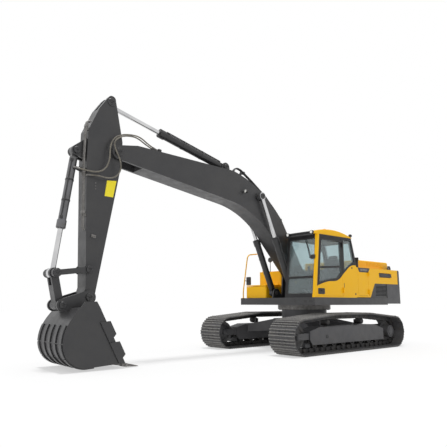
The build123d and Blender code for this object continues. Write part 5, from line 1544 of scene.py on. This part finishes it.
@dataclass(frozen=True)
class Controls:
    """Hand grips, travel levers with pedals, and the monitor."""

    grip_x: float = 0.500
    lever_y: float = 0.075
    pedal_x: float = 0.93
    pedal_y: float = 0.085
    pedal_turn: float = math.radians(28)
    middle: float = 0.9475
    console: float = 0.325
    console_top: float = 1.982
    floor: float = 1.422

    def build(self, workshop: Workshop) -> None:
        """Make the controls of both consoles and of the floor."""
        pairs = (
            ("hand_grips", self.grip, Finish.PLASTIC),
            ("travel_levers", self.lever, Finish.PLASTIC),
            ("travel_pedals", self.pedal, Finish.STEEL),
        )
        for name, make, finish in pairs:
            workshop.add(name, joined(map(make, BOTH_SIDES)), finish, "upper")
        workshop.add("monitor_case", self.monitor(), Finish.PLASTIC, "upper")
        workshop.add("monitor_screen", self.screen(), Finish.SCREEN, "upper")

    def grip(self, side: float) -> Shape:
        """Folded gaiter and a swelling hand grip over the console's stalk."""
        place = (self.grip_x, self.middle + side * self.console, self.console_top)
        gaiter = [(0.0, 0.062), (0.012, 0.064), (0.020, 0.050), (0.032, 0.054)]
        gaiter += [(0.040, 0.042), (0.052, 0.045), (0.060, 0.030)]
        grip = [(0.075, 0.0225), (0.09, 0.028), (0.13, 0.033), (0.16, 0.031)]
        grip += [(0.19, 0.036), (0.215, 0.038), (0.232, 0.026), (0.236, 0.0)]
        return lathe(gaiter + grip, place, Z_AXIS, 24)

    def lever(self, side: float) -> Shape:
        """Bent travel lever with a ball end."""
        y = self.middle + side * self.lever_y
        bends = ((0.93, 0.02), (0.925, 0.2), (0.90, 0.4), (0.85, 0.58))
        path = [(x, y, self.floor + z) for x, z in bends]
        ball = [(-0.02, 0.0), (-0.01, 0.020), (0.03, 0.024), (0.07, 0.018), (0.08, 0.0)]
        return tube(path, 0.011) + lathe(ball, path[-1], unit(np.array([-0.25, 0.0, 1.0])), 16)

    def pedal(self, side: float) -> Shape:
        """Ribbed foot plate on the lever's foot."""
        up = tilted(self.pedal_turn)[0]
        normal = np.cross(Y_AXIS, up)
        place = np.array([self.pedal_x, self.middle + side * self.pedal_y, self.floor + 0.075])
        parts = [prism(rounded(0.095, 0.24, 0.02, 4), place, Y_AXIS, up, 0.012, 0.003)]
        rib = rounded(0.08, 0.012, 0.004, 3)
        for step in np.linspace(-0.09, 0.09, 7):
            parts.append(prism(rib, place + (up * step + normal * 0.010), Y_AXIS, up, 0.006, 0.001))
        return joined(parts)

    def monitor(self) -> Shape:
        """Rounded case on a bent arm, on the right front pillar."""
        stalk = tube([(1.02, 0.55, 1.90), (0.99, 0.56, 2.0), (0.93, 0.585, 2.06)], 0.014)
        return prism(rounded(0.25, 0.19, 0.03), (0.92, 0.60, 2.10), *FACING_FRONT, 0.05, 0.008) + stalk

    def screen(self) -> Shape:
        """Flat dark screen on the monitor's rear face."""
        return prism(rounded(0.20, 0.13, 0.008, 3), (0.9195, 0.60, 2.105), *FACING_REAR, 0.003, 0.001)


@dataclass(frozen=True)
class CabFittings:
    """What is fitted to the cab: seals, handles, wiper, beacon, lamp, visor, mirror and lining."""

    front_low: float = 1.320
    floor: float = 1.362
    lean: float = -0.118528
    middle: float = 0.9475
    glass_half: float = 0.4175
    left: float = 1.435
    bead: float = 0.011
    screens: tuple[Pair, ...] = ((1.452, 1.850), (1.890, 2.855))
    door_glass: tuple[Pair, ...] = (
        (1.1214, 1.73), (0.9904, 2.835), (0.180, 2.835), (0.180, 2.010), (0.340, 1.860), (0.770, 1.800),
    )
    beacon: Triple = (0.50, 1.18, 3.112)
    visor_x: float = 1.285
    visor_z: float = 2.938

    def build(self, workshop: Workshop) -> None:
        """Make the fittings, on the cab or on its door."""
        workshop.add("screen_seals", self.screen_seals(), Finish.RUBBER, "upper")
        workshop.add("door_seal", self.door_seal(), Finish.RUBBER, "cab_door")
        workshop.add("door_handle", self.door_handle(), Finish.PLASTIC, "cab_door")
        workshop.add("door_grab", self.door_grab(), Finish.PLASTIC, "cab_door")
        workshop.add("wiper", self.wiper(), Finish.PLASTIC, "upper")
        workshop.add("beacon_base", self.beacon_base(), Finish.PLASTIC, "upper")
        workshop.add("beacon_dome", self.beacon_dome(), Finish.AMBER, "upper")
        workshop.add("rear_lamp", self.rear_lamp(), Finish.PLASTIC, "upper")
        workshop.add("visor", self.visor(), Finish.BLACK, "upper")
        workshop.add("inner_mirror", self.inner_mirror(), Finish.PLASTIC, "upper")
        workshop.add("headliner", self.headliner(), Finish.PLASTIC, "upper")

    def on_front(self, y: float, z: float, away: float) -> Triple:
        """Point at a distance from the cab's slanted front."""
        return (self.front_low + self.lean * (z - self.floor) + away, y, z)

    def _frame(self, corners: Sequence[Triple], side: Array) -> Shape:
        """Rubber bead round a closed outline: a straight run along each side, a little past its ends."""
        corners = np.array(corners)
        parts = []
        for start, end in zip(corners, np.roll(corners, -1, axis=0)):
            reach = unit(end - start) * 0.6 * self.bead
            parts.append(tube([start - reach, end + reach], self.bead, side, 8))
        return joined(parts)

    def screen_seals(self) -> Shape:
        """Beads round both windscreens, on the slanted front."""
        parts = []
        for low, high in self.screens:
            ends = [(low, -1.0), (low, 1.0), (high, 1.0), (high, -1.0)]
            corners = [self.on_front(self.middle + way * self.glass_half, z, -0.010) for z, way in ends]
            parts.append(self._frame(corners, X_AXIS))
        return joined(parts)

    def door_seal(self) -> Shape:
        """Bead round the door's window."""
        return self._frame([(x, self.left - 0.006, z) for x, z in self.door_glass], Y_AXIS)

    def door_handle(self) -> Shape:
        """Plate with a pull handle and a key cylinder, low at the door's front."""
        face = self.left
        plate = prism(rounded(0.27, 0.15, 0.03, 6), (1.040, face - 0.004, 1.515), *FACING_LEFT, 0.010, 0.003)
        bends = ((0.95, 0.004), (0.965, 0.034), (1.06, 0.034), (1.075, 0.004))
        pull = tube([(x, face + away, 1.53) for x, away in bends], 0.012, Z_AXIS, 10)
        lock = [(0.0, 0.022), (0.008, 0.022), (0.012, 0.014), (0.012, 0.0)]
        return plate + pull + lathe(lock, (1.125, face + 0.004, 1.515), Y_AXIS, 20)

    def door_grab(self) -> Shape:
        """Grab bar inside the door's rear edge."""
        bar = np.linspace(0.0, 1.0, 25)
        away = 0.055 * np.sin(np.pi * bar) ** 0.35
        path = np.stack([0.235 + 0.03 * bar, self.left - 0.045 - away, 1.93 + 0.5 * bar], -1)
        return tube(path, 0.013, X_AXIS, 10)

    def wiper(self) -> Shape:
        """Motor box on the front pillar, an arm of two rods and a blade along the glass."""
        motor = self.on_front(1.335, 2.375, -0.012)
        box = prism(rounded(0.13, 0.11, 0.02, 4), motor, *FACING_FRONT, 0.050, 0.010)
        knob = [(0.0, 0.022), (0.05, 0.022), (0.056, 0.014), (0.056, 0.0)]
        pivot = lathe(knob, self.on_front(1.262, 2.365, -0.006), X_AXIS, 16)
        rods = []
        for shift in (0.0, 0.022):
            bends = ((1.262, 2.365, 0.040), (1.19, 2.60, 0.040), (1.12, 2.74, 0.020))
            rods.append(tube([self.on_front(y + shift, z, away) for y, z, away in bends], 0.007))
        wiped = ((1.215, 2.42), (1.13, 2.66), (1.055, 2.84))
        blade = tube([self.on_front(y, z, 0.004) for y, z in wiped], 0.009)
        return joined([box, pivot, blade] + rods)

    def beacon_base(self) -> Shape:
        """Base of the turning beacon on the roof."""
        base = [(-0.02, 0.062), (0.006, 0.062), (0.012, 0.055), (0.016, 0.040)]
        return lathe(base, self.beacon, Z_AXIS, 28)

    def beacon_dome(self) -> Shape:
        """Dome of the beacon."""
        dome = [(0.016, 0.052), (0.030, 0.055), (0.045, 0.052), (0.056, 0.042), (0.062, 0.024), (0.064, 0.0)]
        return lathe(dome, self.beacon, Z_AXIS, 28)

    def rear_lamp(self) -> Shape:
        """Round lamp that faces back from the roof's rear left corner."""
        bowl = [(0.0, 0.030), (0.012, 0.043), (0.050, 0.046), (0.056, 0.042), (0.052, 0.036), (0.050, 0.0)]
        stalk = tube([(-0.36, 1.385, 2.985), (-0.375, 1.385, 3.035)], 0.012)
        return lathe(bowl, (-0.345, 1.385, 3.045), -X_AXIS, 24) + stalk

    def visor(self) -> Shape:
        """Bar before the roof's front edge, on three posts."""
        bar = [(self.visor_x, y, self.visor_z) for y in np.linspace(0.53, 1.40, 9)]
        posts = [[(1.17, y, 2.955), (self.visor_x, y, self.visor_z)] for y in (0.60, 0.95, 1.30)]
        return joined([tube(bar, 0.020, Z_AXIS)] + [tube(post, 0.016) for post in posts])

    def inner_mirror(self) -> Shape:
        """Mirror inside the windscreen's top left corner."""
        case = pillow((0.018, 0.06, 0.105), 0.5, 21, 40).moved((0.86, 1.30, 2.62))
        return case + tube([(0.88, 1.30, 2.72), (0.94, 1.30, 2.86)], 0.009)

    def headliner(self) -> Shape:
        """Padded lining under the roof."""
        return pillow((0.62, 0.42, 0.022), 0.25, 17, 64).moved((0.40, self.middle, 2.878))


@dataclass(frozen=True)
class TubeRun:
    """A pair of steel tubes in clamps, drawn along and above a chord in the side view.

    The chord starts at the origin and rises by the angle. Points of the route are distances along and
    above it, and a clamp adds its own turn in degrees.
    """

    name: str
    body: str
    node: str
    finish: Finish
    origin: Pair
    angle: float
    y: float
    bend: float
    route: tuple[Pair, ...]
    clamps: tuple[Triple, ...]
    radius: float = 0.0172
    spacing: float = 0.048

    def build(self, workshop: Workshop) -> None:
        """Make the tubes, with the clamps as bridges over them."""
        parts = []
        for side in BOTH_SIDES:
            y = self.y + side * self.spacing / 2.0
            path = bent([self.place(u, v, y) for u, v in self.route], self.bend)
            parts.append(tube(path, self.radius))
        parts += [self.clamp(*clamp) for clamp in self.clamps]
        workshop.add(self.name, joined(parts), self.finish, self.body, [self.node])

    def place(self, u: float, v: float, y: float) -> Triple:
        """Point along and above the chord, in the machine's frame."""
        c, s = math.cos(self.angle), math.sin(self.angle)
        return (self.origin[0] + u * c - v * s, y, self.origin[1] + u * s + v * c)

    def clamp(self, u: float, v: float, turn: float) -> Shape:
        """Rounded block on a foot, with two bolts."""
        along, up = tilted(self.angle + math.radians(turn))
        middle = np.array(self.place(u, v, self.y))
        block = prism(rounded(0.104, 0.060, 0.016, 4), middle - 0.03 * along, -Y_AXIS, up, 0.06, 0.006)
        foot = prism(rounded(0.06, 0.05, 0.008, 3), middle - 0.13 * up, along, Y_AXIS, 0.11)
        heads = np.array([middle + 0.030 * up + side * 0.012 * along for side in BOTH_SIDES])
        return joined([block, foot, bolt_heads(heads, up, 0.009, 0.009)])


TUBE_RUNS = (
    TubeRun(
        "boom_tubes", "boom", "boom_lines", Finish.BLACK, (0.410, 1.990), math.radians(22.2), 0.140, 0.10,
        route=(
            (3.23, 1.44), (3.18, 1.59), (3.02, 1.625), (2.56, 1.555), (1.96, 1.432), (1.21, 1.14),
            (0.42, 0.575),
        ),
        clamps=((2.96, 1.612, 8.0), (2.15, 1.470, 16.0), (1.25, 1.158, 33.0), (0.64, 0.735, 35.0)),
    ),
    TubeRun(
        "arm_tubes", "arm", "arm_lines", Finish.STEEL, (6.1504, 4.3326), math.radians(-80.4), 0.148, 0.05,
        route=((-0.43, 0.70), (-0.40, 0.775), (-0.20, 0.76), (0.38, 0.668), (1.74, 0.39), (1.79, 0.35)),
        clamps=((-0.25, 0.764, -2.0), (0.70, 0.603, -12.0), (1.50, 0.439, -12.0)),
    ),
)


@dataclass(frozen=True)
class BodyFittings:
    """Latches, plates, mirrors and other small things on the panels, the deck and the arm."""

    panel_face: float = 1.435
    deck_face: float = 1.320
    arm_face: float = 0.185
    rail_y: float = -1.365
    locks_at: tuple[Pair, ...] = ((-0.45, 1.46), (-0.318, 2.157))

    def build(self, workshop: Workshop) -> None:
        """Make the fittings, each on the body that carries it."""
        workshop.add("panel_locks", self.locks(), Finish.BLACK, "upper")
        workshop.add("side_recess", self.recess(), Finish.BLACK, "service_door_left")
        workshop.add("side_plate", self.plate(), Finish.STEEL, "service_door_left")
        workshop.add("side_vents", self.vent(), Finish.BLACK, "upper")
        workshop.add("hand_rail", self.rail(), Finish.YELLOW, "upper", ["handrail"])
        workshop.add("mirror_glass", self.mirror_glass(), Finish.MIRROR, "upper")
        workshop.add("deck_slots", self.deck_slots(), Finish.BLACK, "upper")
        workshop.add("slew_bolts", self.slew_bolts(), Finish.LINK, "upper")
        workshop.add("arm_plate", self.arm_plate(), Finish.PLATE, "arm")
        workshop.add("grease_block", self.grease_block(), Finish.STEEL, "arm")
        workshop.add("stack_louvres", self.stack(), Finish.PLASTIC, "upper", ["intake_stack"])

    def _on_panel(self, outline: Array, at: Triple, depth: float, bevel: float = 0.0) -> Shape:
        """Flat thing on the left side panels' face.

        Args:
            outline: points in the side view, counter-clockwise with the first axis to the rear.
            at: X of the outline's origin, distance of its inner side from the face, and its Z.
            depth: its thickness.
            bevel: width of its rims.

        Returns:
            The closed surface.
        """
        x, away, z = at
        return prism(outline, (x, self.panel_face + away, z), *FACING_LEFT, depth, bevel)

    def locks(self) -> Shape:
        """Round locks with a raised rim on the left side panel, and the dark slit beside its door."""
        rim = [(-0.006, 0.024), (0.004, 0.024), (0.006, 0.019), (0.003, 0.016), (0.003, 0.0)]
        slit = self._on_panel(rounded(0.014, 0.157, 0.006, 3), (0.055, -0.001, 1.664), 0.004)
        return joined([slit] + [lathe(rim, (x, self.panel_face, z), Y_AXIS, 20) for x, z in self.locks_at])

    def recess(self) -> Shape:
        """Dark frame with slanted ends under the panel's top edge."""
        outline = [(0.585, 2.186), (0.66, 2.062), (1.10, 2.062), (1.19, 2.186)]
        return self._on_panel(outline, (0.0, -0.002, 0.0), 0.005, 0.002)

    def vent(self) -> Shape:
        """Dark vents with slanted ends and three slats, high on the side panels' rear."""
        outline = [(1.66, 2.066), (1.68, 1.962), (2.34, 1.962), (2.32, 2.066)]
        slat = rounded(0.60, 0.016, 0.006, 3)
        slats = [self._on_panel(slat, (-2.0, 0.003, z), 0.007, 0.002) for z in (1.985, 2.014, 2.043)]
        return joined([self._on_panel(outline, (0.0, -0.002, 0.0), 0.006, 0.002)] + slats).mirrored()

    def plate(self) -> Shape:
        """Blank plate in the recess."""
        return self._on_panel(rounded(0.36, 0.062, 0.012, 4), (-0.885, 0.002, 2.128), 0.004, 0.0015)

    def rail(self) -> Shape:
        """Bent handrail at the right front, with a flange at each foot."""
        bends = ((1.09, 1.36), (1.09, 1.56), (0.90, 2.64), (0.48, 2.70), (0.25, 2.70), (0.25, 2.15))
        corners = [(x, self.rail_y, z) for x, z in bends]
        flange = [(0.0, 0.036), (0.010, 0.036), (0.012, 0.020)]
        feet = [lathe(flange, foot, Z_AXIS, 20) for foot in (corners[0], corners[-1])]
        return joined([tube(bent(corners, 0.12), 0.017, Y_AXIS, 16)] + feet)

    def mirror_glass(self) -> Shape:
        """Glass on the rear faces of the two mirrors: one flat, one round and crowned."""
        flat = prism(rounded(0.126, 0.214, 0.016, 4), (0.7755, -1.435, 1.87), *FACING_REAR, 0.003, 0.001)
        crown = [(0.0, 0.066), (0.002, 0.066), (0.005, 0.04), (0.006, 0.0)]
        return flat + lathe(crown, (-0.0795, -1.35, 2.548), -X_AXIS, 32)

    def deck_slots(self) -> Shape:
        """Slots and step edges on the front of the cab's deck."""
        slots = ((0.80, 1.275, 0.03, 0.10), (1.14, 1.262, 0.10, 0.06), (1.31, 1.268, 0.12, 0.06))
        parts = []
        for y, z, width, height in slots:
            slot = rounded(width, height, 0.012, 4)
            parts.append(prism(slot, (self.deck_face - 0.001, y, z), *FACING_FRONT, 0.004, 0.001))
        return joined(parts)

    def slew_bolts(self) -> Shape:
        """Bolts under the rim of the slew ring."""
        return bolt_heads(circle((0.0, 0.0, 1.0452), -Z_AXIS, 0.695, 40), -Z_AXIS, 0.018, 0.016)

    def arm_plate(self) -> Shape:
        """Blank plate on the arm's left side, low at its rear edge."""
        outline = [(-6.408, 3.364), (-6.218, 3.361), (-6.153, 3.7215), (-6.368, 3.695)]
        return prism(outline, (0.0, self.arm_face + 0.0002, 0.0), *FACING_LEFT, 0.004, 0.0015)

    def grease_block(self) -> Shape:
        """Block of grease nipples on the arm's left side, with the bolts of a clip above it."""
        along, up = tilted(math.radians(9.6))
        middle = np.array([6.612, self.arm_face, 2.519])
        block = prism(rounded(0.10, 0.060, 0.01, 3), middle, -along, up, 0.022, 0.004)
        nipple = [(0.0, 0.011), (0.012, 0.011), (0.016, 0.007), (0.026, 0.007), (0.028, 0.0)]
        heads = [middle + 0.022 * Y_AXIS + step * along for step in (-0.030, 0.0, 0.030)]
        clip = np.array([(6.613, self.arm_face, 3.54 + step) for step in (-0.06, 0.0, 0.06)])
        nipples = [lathe(nipple, head, Y_AXIS, 10) for head in heads]
        return joined([block] + nipples + [bolt_heads(clip, Y_AXIS, 0.012, 0.008)])

    def stack(self) -> Shape:
        """Air intake: a pipe under a ribbed cap."""
        pipe = [(0.0, 0.052), (0.012, 0.052), (0.016, 0.044), (0.225, 0.044), (0.228, 0.056)]
        rib = ((0.235, 0.058), (0.241, 0.052))
        ribs = [(height + 0.012 * i, radius) for i in range(6) for height, radius in rib]
        cap = [(0.312, 0.058), (0.320, 0.052), (0.325, 0.0)]
        return lathe(pipe + ribs + cap, (-1.065, 1.10, 2.19), Z_AXIS, 28)


def main() -> None:
    """Dress the machine, one sub-assembly after another."""
    logging.basicConfig(level=logging.INFO, format="%(name)s %(message)s")
    bpy.context.scene.view_settings.view_transform = "Standard"
    workshop = Workshop()
    PhotoCamera().add()
    Studio().add()
    workshop.paint_nodes()
    sub_assemblies = (
        HoseLoops(),
        Tracks(),
        RunningGear(),
        BucketTeeth(),
        PinCaps(),
        *CYLINDERS,
        *TUBE_RUNS,
        OperatorSeat(),
        Controls(),
        CabFittings(),
        BodyFittings(),
    )
    for sub_assembly in sub_assemblies:
        sub_assembly.build(workshop)
    workshop.save_sizes()


if __name__ == "__main__":
    main()
